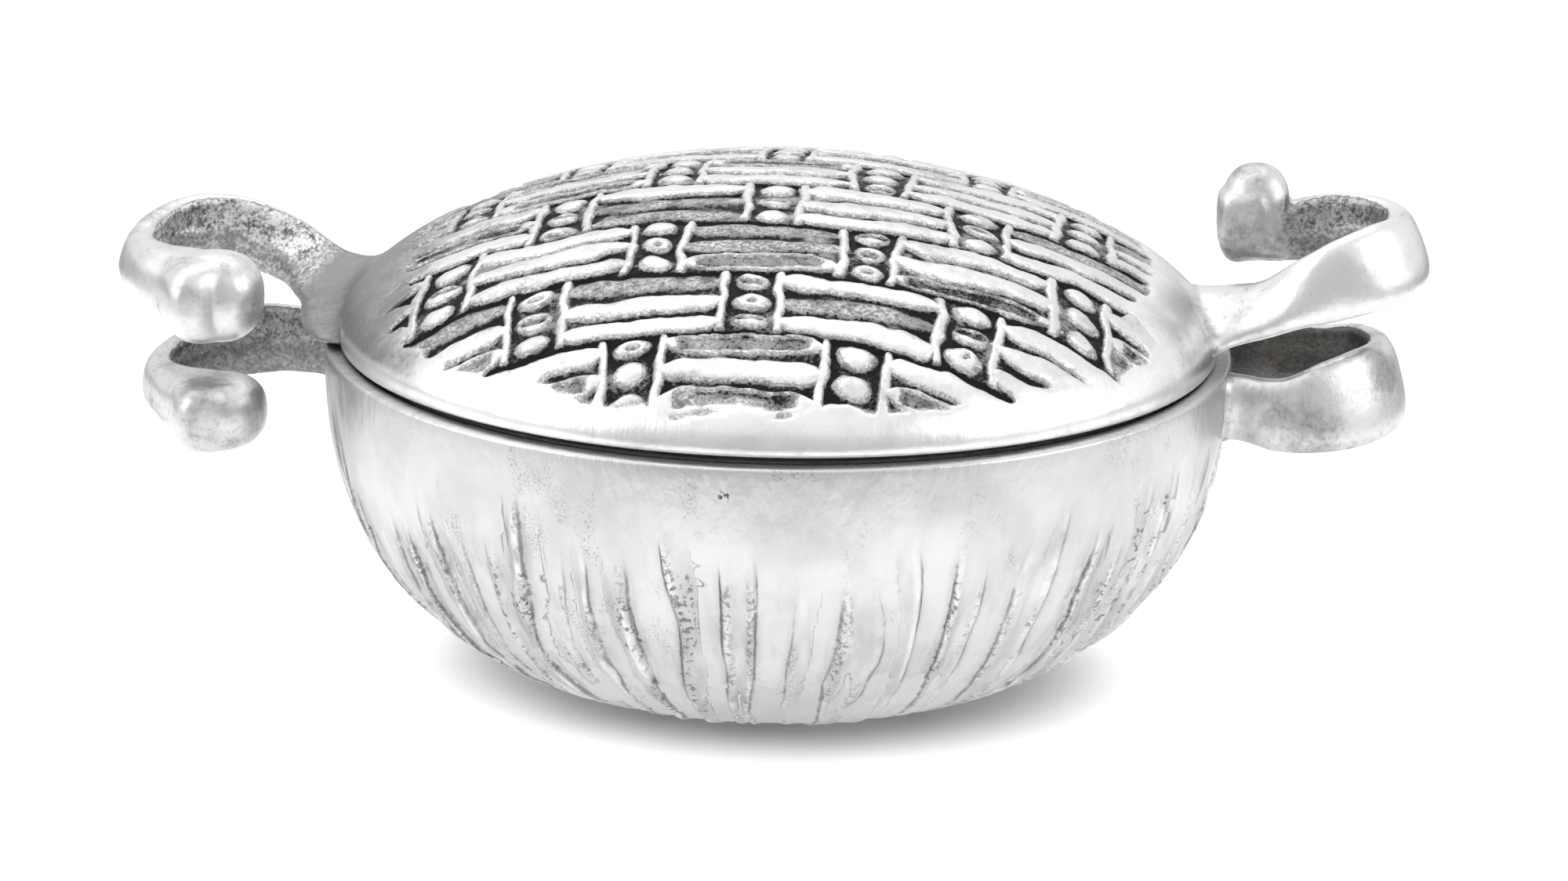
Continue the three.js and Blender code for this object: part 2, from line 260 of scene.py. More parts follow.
def cloud(at, size, seed=0):
    """Three sizes of noise on top of each other, from -1 to 1."""
    layers = [noise(at, size / 2 ** i, seed + i) * 2.0 ** -i for i in range(3)]
    return sum(layers) / 0.875 - 1


def luck(*numbers):
    """A fixed random value from 0 to 1 for each set of whole numbers."""
    total = sum(number * factor for number, factor in zip(numbers, (12.9898, 78.233, 37.719)))
    return np.modf(np.abs(np.sin(total + 1.3) * 43758.5453))[0]


def places(bm):
    return np.array([vert.co for vert in bm.verts])


def move(bm, new_places):
    for vert, place in zip(bm.verts, new_places):
        vert.co = place


def weld(bm):
    bmesh.ops.remove_doubles(bm, verts=bm.verts, dist=WELD_REACH)
    bmesh.ops.recalc_face_normals(bm, faces=bm.faces)


def turned(profile, sectors, steps):
    """A profile of (radius, height) pairs, axis to axis, spun into one sector of so many
    steps, which is then repeated round the upright axis."""
    bm = bmesh.new()
    verts = [bm.verts.new((radius, 0, z)) for radius, z in profile]
    edges = [bm.edges.new(pair) for pair in zip(verts, verts[1:])]
    upright = {"cent": (0, 0, 0), "axis": (0, 0, 1), "dvec": (0, 0, 0), "use_normal_flip": False}
    bmesh.ops.spin(
        bm, geom=verts + edges, angle=TURN / sectors, steps=steps,
        use_merge=False, use_duplicate=False, **upright,
    )
    bmesh.ops.remove_doubles(bm, verts=bm.verts, dist=WELD_REACH)
    bmesh.ops.spin(
        bm, geom=bm.verts[:] + bm.edges[:] + bm.faces[:], angle=TURN * (1 - 1 / sectors),
        steps=sectors - 1, use_merge=False, use_duplicate=True, **upright,
    )
    weld(bm)
    return bm


def mesh_of(bm, name):
    mesh = bpy.data.meshes.new(name)
    bm.to_mesh(mesh)
    bm.free()
    mesh.shade_smooth()
    return mesh


def piece(mesh, name, material, body, nodes):
    mesh.vertices.foreach_set("co", np.clip(mesh_places(mesh), *cad_box).ravel())
    made = bpy.data.objects.new(name, mesh)
    bpy.context.scene.collection.objects.link(made)
    mesh.materials.append(material)
    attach(made, body)
    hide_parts(*nodes)
    return made


def baked(obj):
    """The object's mesh with its modifiers applied."""
    graph = bpy.context.evaluated_depsgraph_get()
    mesh = bpy.data.meshes.new_from_object(obj.evaluated_get(graph))
    obj.modifiers.clear()
    obj.data = mesh
    return mesh


def thinned(mesh):
    """The mesh with fewer faces where it is smooth, and no more than a piece may have.
    A weld leaves the faces in any order, so they are sorted first, and the result is the
    same every time."""
    at, faces = mesh_places(mesh), sorted(tuple(face.vertices) for face in mesh.polygons)
    mesh.clear_geometry()
    mesh.from_pydata(at, [], faces)
    obj = bpy.data.objects.new(mesh.name, mesh)
    bpy.context.scene.collection.objects.link(obj)
    thin = obj.modifiers.new("thin", "DECIMATE")
    thin.ratio = min(1, MOST_TRIANGLES / sum(len(face.vertices) - 2 for face in mesh.polygons))
    made = baked(obj)
    bpy.data.objects.remove(obj)
    made.shade_smooth()
    return made


def mesh_places(mesh):
    flat = np.empty(len(mesh.vertices) * 3)
    mesh.vertices.foreach_get("co", flat)
    return flat.reshape(-1, 3)


def mark(mesh, name, values):
    """A value for each corner of the mesh, for its material to read."""
    layer = mesh.attributes.new(name, "FLOAT", "POINT")
    layer.data.foreach_set("value", np.asarray(values, dtype=np.float32))


# The bowl's shape

def bowl_curve(sizes, radius, height, foot, steps):
    """From foot to rim; heights are below the rim's plane."""
    power = 2 / sizes.fullness
    end = math.acos((foot / radius) ** (1 / power))
    depth = height / math.sin(end) ** power
    turns = [end * i / steps for i in range(steps, -1, -1)]
    return [(radius * math.cos(t) ** power, RIM_Z - depth * math.sin(t) ** power) for t in turns]


def rib_relief(sizes, at):
    """How deep the bowl's skin lies under its crests, and what its material needs."""
    x, y, z = at.T
    drop = RIM_Z - z
    low = smooth(drop / RIM_Z)
    upright = at * (1, 1, 0.35)
    pitch = TURN * off_axis(at) / sizes.rib_count
    phase = np.arctan2(y, x) / TURN * sizes.rib_count + 0.55 * cloud(upright, 22 * MM, 1)
    rib = np.floor(phase) % sizes.rib_count
    inside = phase - np.floor(phase)
    inside = np.where(luck(rib, 5) > 0.45, inside, 1 - inside)
    width = 0.40 + 0.25 * luck(rib, 2)
    start = sizes.smooth_band + sizes.rib_start * luck(rib, 3)
    rise = smooth((drop - start) / sizes.rib_start)
    strength = 0.35 + 0.65 * luck(rib, 4)
    off_crease = (width - inside) * pitch
    soft_side = smooth(inside / 0.32)
    sharp_side = smooth(off_crease / (0.9 * MM) + 0.5)
    lift = strength * soft_side * sharp_side * (0.75 + 0.25 * cloud(upright, 9 * MM, 2))
    height = sizes.rib_height + (sizes.rib_height_low - sizes.rib_height) * low
    lumps = sizes.casting_waver * (0.35 + 4.4 * low ** 2) * (1 + cloud(upright, 12 * MM, 3))
    lumps = lumps + sizes.casting_waver * low * (1 + cloud(at, 5 * MM, 4)) * 0.5
    foot = smooth((off_axis(at) / sizes.foot_radius - 1) * 12)
    cord = np.exp(-((off_crease / MM - 1.3) / 0.8) ** 2)
    cord = cord * np.clip(1 + cloud(upright, 5 * MM, 12), 0, 2)
    dip = height * rise * (1 - lift) + lumps * smooth(drop / (sizes.smooth_band * 4))
    dip = (dip - sizes.cord_height * rise * strength * cord) * foot
    return dip, {
        "off_crease": np.clip(off_crease, -CREASE_REACH, CREASE_REACH),
        "crease": rise * strength * foot,
        "pitted": rise * soft_side * smooth(off_crease / MM + 1) * smooth(luck(rib, 6) * 2 - 0.6),
        "low": low,
    }


def make_bowl(sizes, material):
    mouth = RIM_RADIUS - sizes.wall
    edge = sizes.rim_edge
    under_rim = RIM_Z - edge * 1.5
    outside = bowl_curve(sizes, RIM_RADIUS, RIM_Z, sizes.foot_radius, WALL_STEPS)
    outside = [point for point in outside if point[1] < under_rim]
    inner_foot = sizes.foot_radius - sizes.wall
    inside = bowl_curve(sizes, mouth, RIM_Z - sizes.floor, inner_foot, INNER_STEPS)
    inside = [point for point in inside if point[1] < under_rim][::-1]
    turns = [math.pi / 2 * i / 4 for i in range(5)]
    out, up = RIM_RADIUS - edge, RIM_Z - edge
    lip = [(out + edge * math.cos(t), up + edge * math.sin(t)) for t in turns]
    lip += [(mouth + edge - edge * math.sin(t), up + edge * math.cos(t)) for t in turns]
    bm = turned([(0, 0), *outside, *lip, *inside, (0, sizes.floor)], SECTORS, SECTOR_STEPS)
    skin_z, skin_r = [z for _, z in outside], [r for r, _ in outside]

    def outer_skin(at):
        near_curve = off_axis(at) > np.interp(at[:, 2], skin_z, skin_r) - SKIN_DEPTH
        return near_curve & (at[:, 2] < under_rim)

    at = places(bm)
    dip = np.where(outer_skin(at) & (at[:, 2] > 0), rib_relief(sizes, at)[0], 0)
    radius = np.maximum(off_axis(at), MM)
    move(bm, at * np.stack([1 - dip / radius, 1 - dip / radius, np.ones_like(dip)], 1))
    mesh = thinned(mesh_of(bm, "bowl_casting"))
    at = mesh_places(mesh)
    outer = outer_skin(at)
    for name, values in rib_relief(sizes, at)[1].items():
        mark(mesh, name, np.where(outer, values, 0))
    return piece(mesh, "bowl_casting", material, "base", ["bowl"])


# The lid's shape

def dome_height(sizes, radius):
    """Height of the lid's border, and of its crests but for the skim."""
    inward = np.clip(1 - (radius / LID_RADIUS) ** sizes.flank, 0, 1)
    rise = LID_HIGH.z + sizes.skim - RIM_Z - sizes.edge
    return RIM_Z + sizes.edge + rise * inward ** sizes.crown


def lip_radii(sizes):
    """Outer and inner radius of the lip that locates the lid in the bowl's mouth."""
    outer = RIM_RADIUS - sizes.lip_clearance - bpy.context.scene.dish_bowl.wall
    return outer, outer - sizes.lip_thickness


def underside_height(sizes, radius):
    """Height of the hollow under the dome."""
    inward = np.clip(1 - (radius / lip_radii(sizes)[1]) ** sizes.flank, 0, 1)
    crown = LID_HIGH.z + sizes.skim - sizes.relief_depth - sizes.shell
    return RIM_Z + (crown - RIM_Z) * inward ** sizes.crown


def relief_outline(sizes, at):
    """Where each place lies: 0 in the middle of the relief, and 1 on its outline, which
    goes round the collars of the scrolls."""
    radius = off_axis(at)
    along_share = np.abs(at[:, 0]) / (sizes.relief_along + sizes.relief_bleed)
    across_share = np.abs(at[:, 1]) / (sizes.relief_across + sizes.relief_bleed)
    power = sizes.relief_shape
    rim = (along_share ** power + across_share ** power) ** (1 / power)
    rim = np.maximum(rim, 1.8 * radius / LID_RADIUS - 0.75)
    towards_scroll = np.abs(at[:, 0]) / np.maximum(radius, MM)
    at_collar = smooth((towards_scroll - math.cos(COLLAR_ANGLE + 0.05)) / 0.06)
    return np.maximum(rim, at_collar * radius / COLLAR_RADIUS)


def relief(sizes, at):
    """Depth of the lid's skin under its crests at each place, and what its material needs."""
    x, y = at[:, 0], at[:, 1]
    flat = at * (1, 1, 0)
    spread = sizes.relief_spread
    reach = sizes.relief_across + sizes.relief_overrun
    across = np.arcsin(np.clip(y * math.sin(spread) / reach, -1, 1)) / spread
    reed = (across + 1) / 2 * sizes.courses * sizes.reeds
    reed = reed + 0.42 * cloud(flat, 26 * MM, 1) + 0.16 * cloud(flat, 8 * MM, 2)
    course, number = np.floor(reed / sizes.reeds), np.floor(reed)
    middle = 2 * (reed - number) - 1
    bow = 2.6 * MM * cloud(flat, 19 * MM, 3) + 1.2 * MM * cloud(flat, 4 * MM, 4)
    period = (x + bow) / sizes.period + np.where(course % 2 == 1, 0, 0.5)
    column = np.round(period)
    from_strip = np.abs(period - column) * sizes.period
    panel = 2 * column + np.sign(period - column)

    # Reeds: broad rounded bars, pointed at both ends, some of them hollowed
    half = (sizes.period - sizes.strip) / 2 - sizes.panel_end * 0.4
    run = np.clip((sizes.period / 2 - from_strip) / half, 0, 2)
    own = luck(number, panel, 1)
    width = (1.03 - 0.12 * own) * np.sqrt(np.clip(1 - np.clip(run, 0, 1) ** (3 + 7 * own), 0, 1))
    width = width * (1 + 0.09 * cloud(flat, 4 * MM, 10))
    over = np.abs(middle + 0.2 * (own - 0.5)) / np.maximum(width, 0.001)
    flat_reed = luck(number, panel, 7) > 0.82
    reeds = np.clip(1 - over ** 3.4, 0, 1) ** 0.6 * (0.88 + 0.12 * luck(number, panel, 4))
    reeds = reeds * np.where(flat_reed, 0.62, 1)
    hollow = smooth((0.66 - over) / 0.16) * smooth((0.88 - run) / 0.12)
    hollow = hollow * (luck(number, panel, 2) > 0.66) * ~flat_reed
    reeds = reeds * (1 - 0.5 * hollow)

    # Strings of beads, each between two fillets; some beads are dimpled
    aside = from_strip / (sizes.strip * 0.39)
    beads = np.sqrt(np.clip(1 - aside ** 2 - (middle * 1.06) ** 2, 0, 1))
    off_side, off_middle = luck(number, column, 8) - 0.5, luck(number, column, 9) - 0.5
    dimple = np.hypot(aside - 0.7 * off_side, middle * 1.3 - 0.6 * off_middle)
    dimple = smooth((0.5 + 0.2 * off_side - dimple) / 0.3) * (luck(number, column, 3) > 0.5)
    beads = beads * (1 - 0.5 * dimple)
    fillets = smooth(1.3 - np.abs(from_strip - sizes.strip * 0.53) / (1.7 * MM)) * 0.9
    level = np.maximum(np.maximum(reeds, beads), fillets)
    level = np.maximum(level, 0.33 + 0.35 * cloud(flat, 8 * MM, 11))

    # Seams between the courses, and the rough cast skin on all of it
    seam = np.abs(reed / sizes.reeds - np.round(reed / sizes.reeds)) * sizes.reeds
    level = level * smooth((seam - 0.02) / 0.11)
    level = level * (0.97 + 0.1 * cloud(flat, 4 * MM, 6)) + 0.05 * cloud(flat, 1.5 * MM, 7)
    level = np.clip(level, 0, 1)

    rim = relief_outline(sizes, at)
    field = smooth((1 - rim + 0.05 * cloud(flat, 16 * MM, 8)) / 0.045)
    swell = sizes.skim * (1 + cloud(flat, 30 * MM, 9)) * smooth((1.15 - rim) / 0.1)
    wells = np.maximum(hollow, dimple * (beads > fillets))
    wells = np.maximum(wells, 0.8 * flat_reed * (reeds >= level * 0.8))
    return (sizes.skim + sizes.relief_depth * (1 - level)) * field + swell * (1 - field), {
        "sunk": (1 - level) * field,
        "well": wells * field,
        "field": field,
    }


def make_lid(sizes, material):
    bm = bmesh.new()
    bmesh.ops.create_grid(bm, x_segments=DOME_CELLS, y_segments=DOME_CELLS, size=1)
    u, v, _ = places(bm).T
    at = np.stack([u * np.sqrt(1 - v * v / 2), v * np.sqrt(1 - u * u / 2), 0 * u], 1) * LID_RADIUS
    at[:, 2] = dome_height(sizes, off_axis(at)) - relief(sizes, at)[0]
    move(bm, at)

    # From the dome's edge the skin turns under the flange, round the lip and up inside
    top = RIM_Z + sizes.edge
    base = RIM_Z + sizes.seat_gap
    bevel = 0.4 * MM
    lip, inner = lip_radii(sizes)
    turns = [math.pi / 2 * i / 3 for i in range(4)]
    edge_round = sizes.edge_round
    bend_under = [
        (LID_RADIUS - edge_round * (1 - math.cos(t)), base + edge_round * (1 - math.sin(t)))
        for t in turns
    ]
    hollow = [inner * math.cos(math.pi / 2 * i / 10) ** (2 / sizes.flank) for i in range(1, 10)]
    path = [
        (LID_RADIUS, top - bevel), *bend_under, (lip + bevel, base), (lip, base - bevel),
        (lip, RIM_Z - sizes.lip_depth), (inner, RIM_Z - sizes.lip_depth), (inner, RIM_Z),
        *[(radius, underside_height(sizes, radius)) for radius in hollow],
    ]
    ring = [edge for edge in bm.edges if edge.is_boundary]
    for radius, height in path:
        grown = bmesh.ops.extrude_edge_only(bm, edges=ring)["geom"]
        ring = [part for part in grown if isinstance(part, bmesh.types.BMEdge)]
        for vert in {vert for edge in ring for vert in edge.verts}:
            flat = Vector((vert.co.x, vert.co.y)).normalized() * radius
            lift = sizes.seat_lift * abs(flat.y / radius) ** 1.5
            at_seat = radius >= lip and RIM_Z + sizes.seat_gap / 2 <= height < top - bevel
            vert.co = (flat.x, flat.y, height + (lift if at_seat else 0))
    closed = bmesh.ops.edgeloop_fill(bm, edges=ring)["faces"]
    bmesh.ops.poke(bm, faces=closed)
    weld(bm)
    mesh = thinned(mesh_of(bm, "lid_casting"))
    at = mesh_places(mesh)
    on_top = at[:, 2] > dome_height(sizes, off_axis(at)) - sizes.relief_depth * 1.3
    for name, values in relief(sizes, at)[1].items():
        mark(mesh, name, np.where(on_top, values, 0))
    return piece(mesh, "lid_casting", material, "lid", ["lid"])


# Scroll handles. Each row is one station of the ribbon, from its root to its thumb:
# outwards as a share of the reach, sideways of the scroll's depth, top and bottom
# edge of the ribbon's height, thickness of the ribbon's, and the lean in degrees.
LID_LEFT_SHARES = [
    [-0.32, -0.03, 1.25, -0.5, 0.8, 67],
    [-0.12, 0.07, 1.04, -0.34, 0.8, 62],
    [0.08, 0.3, 0.85, 0.03, 0.8, 46],
    [0.28, 0.56, 1.02, 0.22, 0.8, 17],
    [0.56, 0.7, 1.21, 0.35, 0.9, -4],
    [0.82, 0.5, 1.26, 0.42, 0.95, -14],
    [0.96, 0.07, 1.18, 0.46, 1, -20],
    [0.96, -0.43, 1.08, 0.47, 1.1, -18],
    [0.8, -0.85, 1.08, 0.38, 1.7, -8],
    [0.6, -1.1, 1.1, 0.19, 2.4, 0],
    [0.48, -1.3, 1.08, 0.12, 3, 0],
]
LID_RIGHT_SHARES = [
    [-0.36, 0.07, 1.32, -0.32, 0.8, -72],
    [-0.14, -0.07, 1.23, -0.19, 0.8, -62],
    [0.09, -0.27, 1.1, 0.18, 0.8, -42],
    [0.34, -0.47, 1.33, 0.5, 0.8, -16],
    [0.55, -0.47, 1.56, 0.62, 0.9, -6],
    [0.78, -0.3, 1.7, 0.73, 1, -14],
    [0.94, 0.03, 1.72, 0.82, 1, -23],
    [0.96, 0.43, 1.74, 0.9, 1, -22],
    [0.81, 0.83, 1.72, 0.92, 0.95, -12],
    [0.58, 1.03, 1.67, 0.86, 1, 0],
    [0.38, 1.08, 1.58, 0.84, 1.3, 0],
    [0.25, 1.08, 1.5, 0.84, 1.8, 0],
    [0.15, 1.09, 1.86, 0.87, 2.2, 0],
    [0.03, 1.1, 1.88, 0.92, 2.2, 0],
]
BOWL_LEFT_SHARES = [
    [-0.18, 0.2, 0, -0.96, 1.4, 0],
    [0.03, 0.33, -0.04, -0.87, 1, 0],
    [0.29, 0.5, -0.04, -0.85, 0.9, 0],
    [0.57, 0.6, -0.08, -0.94, 0.9, 0],
    [0.84, 0.4, -0.22, -0.95, 0.95, -4],
    [1, 0, -0.36, -0.94, 1, -8],
    [1, -0.43, -0.41, -0.96, 1.1, -8],
    [0.83, -0.83, -0.38, -1.02, 1.7, 0],
    [0.63, -1.1, -0.33, -1.13, 2.45, 0],
    [0.53, -1.3, -0.33, -1.17, 2.75, 0],
]
BOWL_RIGHT_SHARES = [
    [-0.2, -0.3, 0, -0.98, 1.4, 0],
    [0.03, -0.43, 0.01, -0.86, 1, 0],
    [0.29, -0.55, -0.05, -0.9, 0.9, 0],
    [0.55, -0.55, 0.13, -0.89, 0.95, -8],
    [0.8, -0.35, 0.24, -0.86, 1, -12],
    [0.97, 0.03, 0.25, -0.8, 1, -16],
    [0.98, 0.43, 0.24, -0.74, 1, -15],
    [0.81, 0.73, 0.22, -0.68, 0.95, -7],
    [0.56, 0.84, 0.13, -0.67, 1, 0],
    [0.33, 0.87, 0.15, -0.74, 1.6, 0],
    [0.14, 0.9, 0.15, -0.8, 2.2, 0],
]

# The bulb of each thumb in the same shares, with its depth instead of the lean
BULBS = {
    "lid_scroll_left": [0.47, -1.14, 1.12, 0.08, 2.9, 0.4],
    "lid_scroll_right": [0.11, 1.09, 1.97, 0.89, 2.13, 0.3],
    "bowl_scroll_left": [0.52, -1.14, -0.32, -1.18, 2.7, 0.4],
    "bowl_scroll_right": [0.16, 0.9, 0.17, -0.8, 2.2, 0.3],
}

# How dull each scroll's root, ribbon and thumb are, the root's value also painting shade
# there, how rough the thumb is on the side of the ribbon, how much painted shade darkens
# the inner face, and the clearance to the casting at which that face starts
SCROLL_TONES = {
    "lid_scroll_left": (1.0, 0.45, 0.45, 0.0, 0.0, 4 * MM),
    "lid_scroll_right": (0.45, 0.35, 0.62, 0.0, 0.4, 4 * MM),
    "bowl_scroll_left": (0.6, 0.6, 0.6, 0.0, 0.6, -3 * MM),
    "bowl_scroll_right": (0.6, 0.6, 0.6, 1.0, 0.9, -3 * MM),
}


def along(rows, share_along):
    """Rows of stations as one smooth curve through all of them, at shares of its run."""
    rows = np.vstack([2 * rows[0] - rows[1], rows, 2 * rows[-1] - rows[-2]])
    run = np.clip(share_along, 0, 1) * (len(rows) - 3)
    i = np.minimum(run.astype(int), len(rows) - 4)
    t = (run - i)[:, None]
    a, b, c, d = (rows[i + k] for k in range(4))
    return 0.5 * (
        2 * b + (c - a) * t
        + (2 * a - 5 * b + 4 * c - d) * t ** 2 + (3 * b - a - 3 * c + d) * t ** 3)


def station_place(sizes, side, reach, out, sideways, top, bottom):
    """The middle of a station of the ribbon, from its shares."""
    middle = RIM_Z + sizes.height * (top + bottom) / 2
    return side * (RIM_RADIUS + reach * out), sizes.depth * sideways, middle


def flare_width(sizes, outside):
    """How much wider a neck is on each side, at places that far outside the lid's edge."""
    inward = np.clip(1 - (outside + sizes.flare_start) / sizes.flare, 0, sizes.flare_share)
    return sizes.flare * (1 - np.sqrt(1 - inward ** 2))


def scroll_bar(sizes, side, reach, shares, innermost, flared):
    """The ribbon of one scroll, closed at its root and domed at its thumb, and a value
    for each corner: 1 on the face inside the scroll over the ledge, and less below it.
    Where its root flares, the wings of the flare run level with the edge of the lid."""
    around, stations, cap = 56, 150, 12
    out, sideways, top, bottom, thick, lean = np.array(shares).T
    stages = np.stack([
        *station_place(sizes, side, reach, out, sideways, top, bottom),
        sizes.thickness * thick / 2, sizes.height * (top - bottom) / 2, np.radians(lean),
    ], 1)
    bm = bmesh.new()
    bmesh.ops.create_grid(bm, x_segments=around, y_segments=stations + cap, size=1)
    u, v, _ = places(bm).T
    row = np.round((v + 1) / 2 * (stations + cap))
    run = np.minimum(row / stations, 1)
    turn = np.maximum(row - stations, 0) / cap * math.pi / 2
    shrink = np.cos(turn) ** (2 / sizes.squareness)
    shrink = np.where(row == 0, 0, np.where(turn > math.pi / 2 - 1e-6, 0, shrink))
    push = sizes.thumb_round * np.sin(turn) ** (2 / sizes.squareness)
    middle = along(stages, run)
    step = 1e-4
    heading = along(stages, run + step) - along(stages, run - step)
    heading = heading[:, :2] / np.linalg.norm(heading[:, :2], axis=1)[:, None]
    spin = u * math.pi
    ribbon = 1 - smooth((middle[:, 3] / sizes.thickness - 0.55) / 0.5)
    over = bend(np.cos(spin), 2 / sizes.squareness)
    up = bend(np.sin(spin), 2 / sizes.squareness)
    over_ledge = smooth((up - 0.3 * cloud(middle[:, :3], 16 * MM, 5)) / 0.2 + 0.5)
    hollow = sizes.dish * ribbon * np.clip(over, 0, 1) * (1 - np.abs(up) ** 2.5)
    hollow = hollow * (sizes.ledge + (1 - sizes.ledge) * over_ledge)
    over = (over - hollow) * middle[:, 3] * shrink
    flare = flare_width(sizes, side * middle[:, 0] - LID_RADIUS) if flared else 0
    wing = np.abs(up * shrink) ** 3 * flare
    up = up * middle[:, 4] * shrink
    aside = over * np.cos(middle[:, 5]) - up * np.sin(middle[:, 5]) * (1 + wing / middle[:, 4])
    level = middle[:, 2] + up * np.cos(middle[:, 5])
    lid = bpy.context.scene.dish_lid
    edge_level = RIM_Z + (lid.edge + lid.seat_gap) / 2
    at = np.stack([
        middle[:, 0] + heading[:, 0] * push - heading[:, 1] * aside,
        middle[:, 1] + heading[:, 1] * push + heading[:, 0] * aside,
        level + (edge_level - level) * wing / sizes.flare + over * np.sin(middle[:, 5]),
    ], 1)
    radius = off_axis(at)
    at[:, :2] *= (np.maximum(radius, innermost) / radius)[:, None]
    inner_face = smooth((np.cos(spin) - 0.15) * 3) * ribbon * (0.6 + 0.4 * over_ledge)
    move(bm, at)
    weld(bm)
    return bm, at, inner_face


def bulb(bm, sizes, side, reach, shares):
    """The rounded block that a scroll's thumb swells to."""
    top, bottom, thick, depth = shares[2:]
    middle = station_place(sizes, side, reach, *shares[:4])
    radii = (sizes.thickness * thick / 2, sizes.depth * depth, sizes.height * (top - bottom) / 2)
    verts = bmesh.ops.create_uvsphere(bm, u_segments=64, v_segments=32, radius=1)["verts"]
    for vert in verts:
        power = sizes.bulb_squareness
        size = sum(abs(part) ** power for part in vert.co) ** (1 / power)
        vert.co = [
            centre + radius * part / size
            for centre, radius, part in zip(middle, radii, vert.co)
        ]


def carrier_patch(profile, side, half_angle):
    """A sector of the casting that carries a scroll, a little under its skin."""
    bm = bmesh.new()
    verts = [bm.verts.new((radius, 0, z)) for radius, z in profile]
    face = bm.faces.new(verts)
    start = Matrix.Rotation((0 if side > 0 else math.pi) - half_angle, 3, "Z")
    bmesh.ops.rotate(bm, cent=(0, 0, 0), matrix=start, verts=bm.verts)
    bmesh.ops.spin(
        bm, geom=[face], cent=(0, 0, 0), axis=(0, 0, 1), dvec=(0, 0, 0),
        angle=half_angle * 2, steps=48, use_merge=False, use_normal_flip=False, use_duplicate=False,
    )
    bmesh.ops.recalc_face_normals(bm, faces=bm.faces)
    return bm


def mark_scroll(mesh, name, thumb, to_ribbon, to_skin, inner_face):
    """What the scroll's material needs: where it is as cast, how dull it is, with painted
    shade at its root, and how much painted shade darkens its inner face.
    The last three arguments are each corner's distances to the ribbon's skin and to the
    casting, and how far it is on the inner face."""
    thumb_reach, corner_reach, soft = 14 * MM, 5 * MM, 8 * MM
    root_start, root_reach = 6 * MM, 20 * MM
    root_dull_and_shade, dull_and_shade, thumb_dull, thumb_cast, inner_shade, inner_start = SCROLL_TONES[name]
    at = mesh_places(mesh)
    at_thumb = 1 - smooth((np.linalg.norm(at - thumb, axis=1) - thumb_reach) / soft)
    facing_ribbon = smooth(0.5 + (abs(thumb[1]) - np.abs(at[:, 1])) / soft)
    rough = np.maximum(inner_face, thumb_cast * at_thumb * facing_ribbon)
    mark(mesh, "as_cast", rough * smooth((to_skin - inner_start) / (1.5 * inner_start + soft)))
    at_root = 1 - smooth((to_skin - root_start) / root_reach)
    corner = 0.8 - 0.8 * smooth(np.maximum(to_ribbon, to_skin) / corner_reach)
    tones = dull_and_shade + (thumb_dull - dull_and_shade) * at_thumb
    # The root's share also paints shade there, most at the lid's left root
    mark(mesh, "dull_and_shade", np.maximum(np.maximum(at_root * root_dull_and_shade, corner), tones))
    # Painted shade on the inner face, set for each scroll
    mark(mesh, "inner_shade", np.full(len(at), inner_shade))


def make_scroll(sizes, plan, carrier, material):
    """One scroll with its root grown into a patch of the casting, with a soft fillet."""
    name, side, reach, shares, cad_node = plan
    flared = carrier["body"] == "lid"
    bm, ribbon_at, inner_face = scroll_bar(
        sizes, side, reach, shares, carrier["innermost"], flared)
    patch = carrier_patch(carrier["profile"], side, carrier["half_angle"])
    parts = [mesh_of(bm, name + "_ribbon"), mesh_of(patch, name + "_patch")]
    both = bmesh.new()
    for part in parts:
        both.from_mesh(part)
        bpy.data.meshes.remove(part)
    bulb(both, sizes, side, reach, BULBS[name])
    raw = bpy.data.objects.new(name + "_raw", mesh_of(both, name + "_raw"))
    bpy.context.scene.collection.objects.link(raw)
    remesh = raw.modifiers.new("even_mesh", "REMESH")
    remesh.mode = "VOXEL"
    remesh.voxel_size = sizes.voxel
    mesh = baked(raw)

    tree = KDTree(len(ribbon_at))
    for i, place in enumerate(ribbon_at):
        tree.insert(place, i)
    tree.balance()
    at = mesh_places(mesh)
    found = [tree.find(place) for place in at]
    to_ribbon = np.array([hit[2] for hit in found])
    to_skin = np.abs(carrier["off_skin"](at))
    near = 1 - smooth(np.maximum(to_ribbon * 0.6, to_skin) / sizes.fillet)
    fillet = raw.vertex_groups.new(name="fillet")
    for i in np.nonzero(near > 0.01)[0]:
        fillet.add([int(i)], float(near[i]), "REPLACE")
    root = raw.modifiers.new("fillet", "SMOOTH")
    root.factor, root.iterations, root.vertex_group = 0.5, sizes.fillet_steps, "fillet"
    whole = raw.modifiers.new("even_skin", "SMOOTH")
    whole.factor, whole.iterations = 0.5, 3
    mesh = baked(raw)
    bpy.data.objects.remove(raw)
    mesh.name = name
    mesh.shade_smooth()
    if flared:
        at = mesh_places(mesh)
        off_rim = np.maximum(off_axis(at) - RIM_RADIUS - MM, 0)
        at[:, 2] = np.maximum(at[:, 2], RIM_Z + carrier["gap"] - 1.2 * off_rim)
        mesh.vertices.foreach_set("co", at.ravel())
    thumb = station_place(sizes, side, reach, *BULBS[name][:4])
    inner_face = np.array([inner_face[hit[1]] for hit in found])
    mark_scroll(mesh, name, thumb, to_ribbon, to_skin, inner_face)
    return piece(mesh, name, material, carrier["body"], [cad_node])


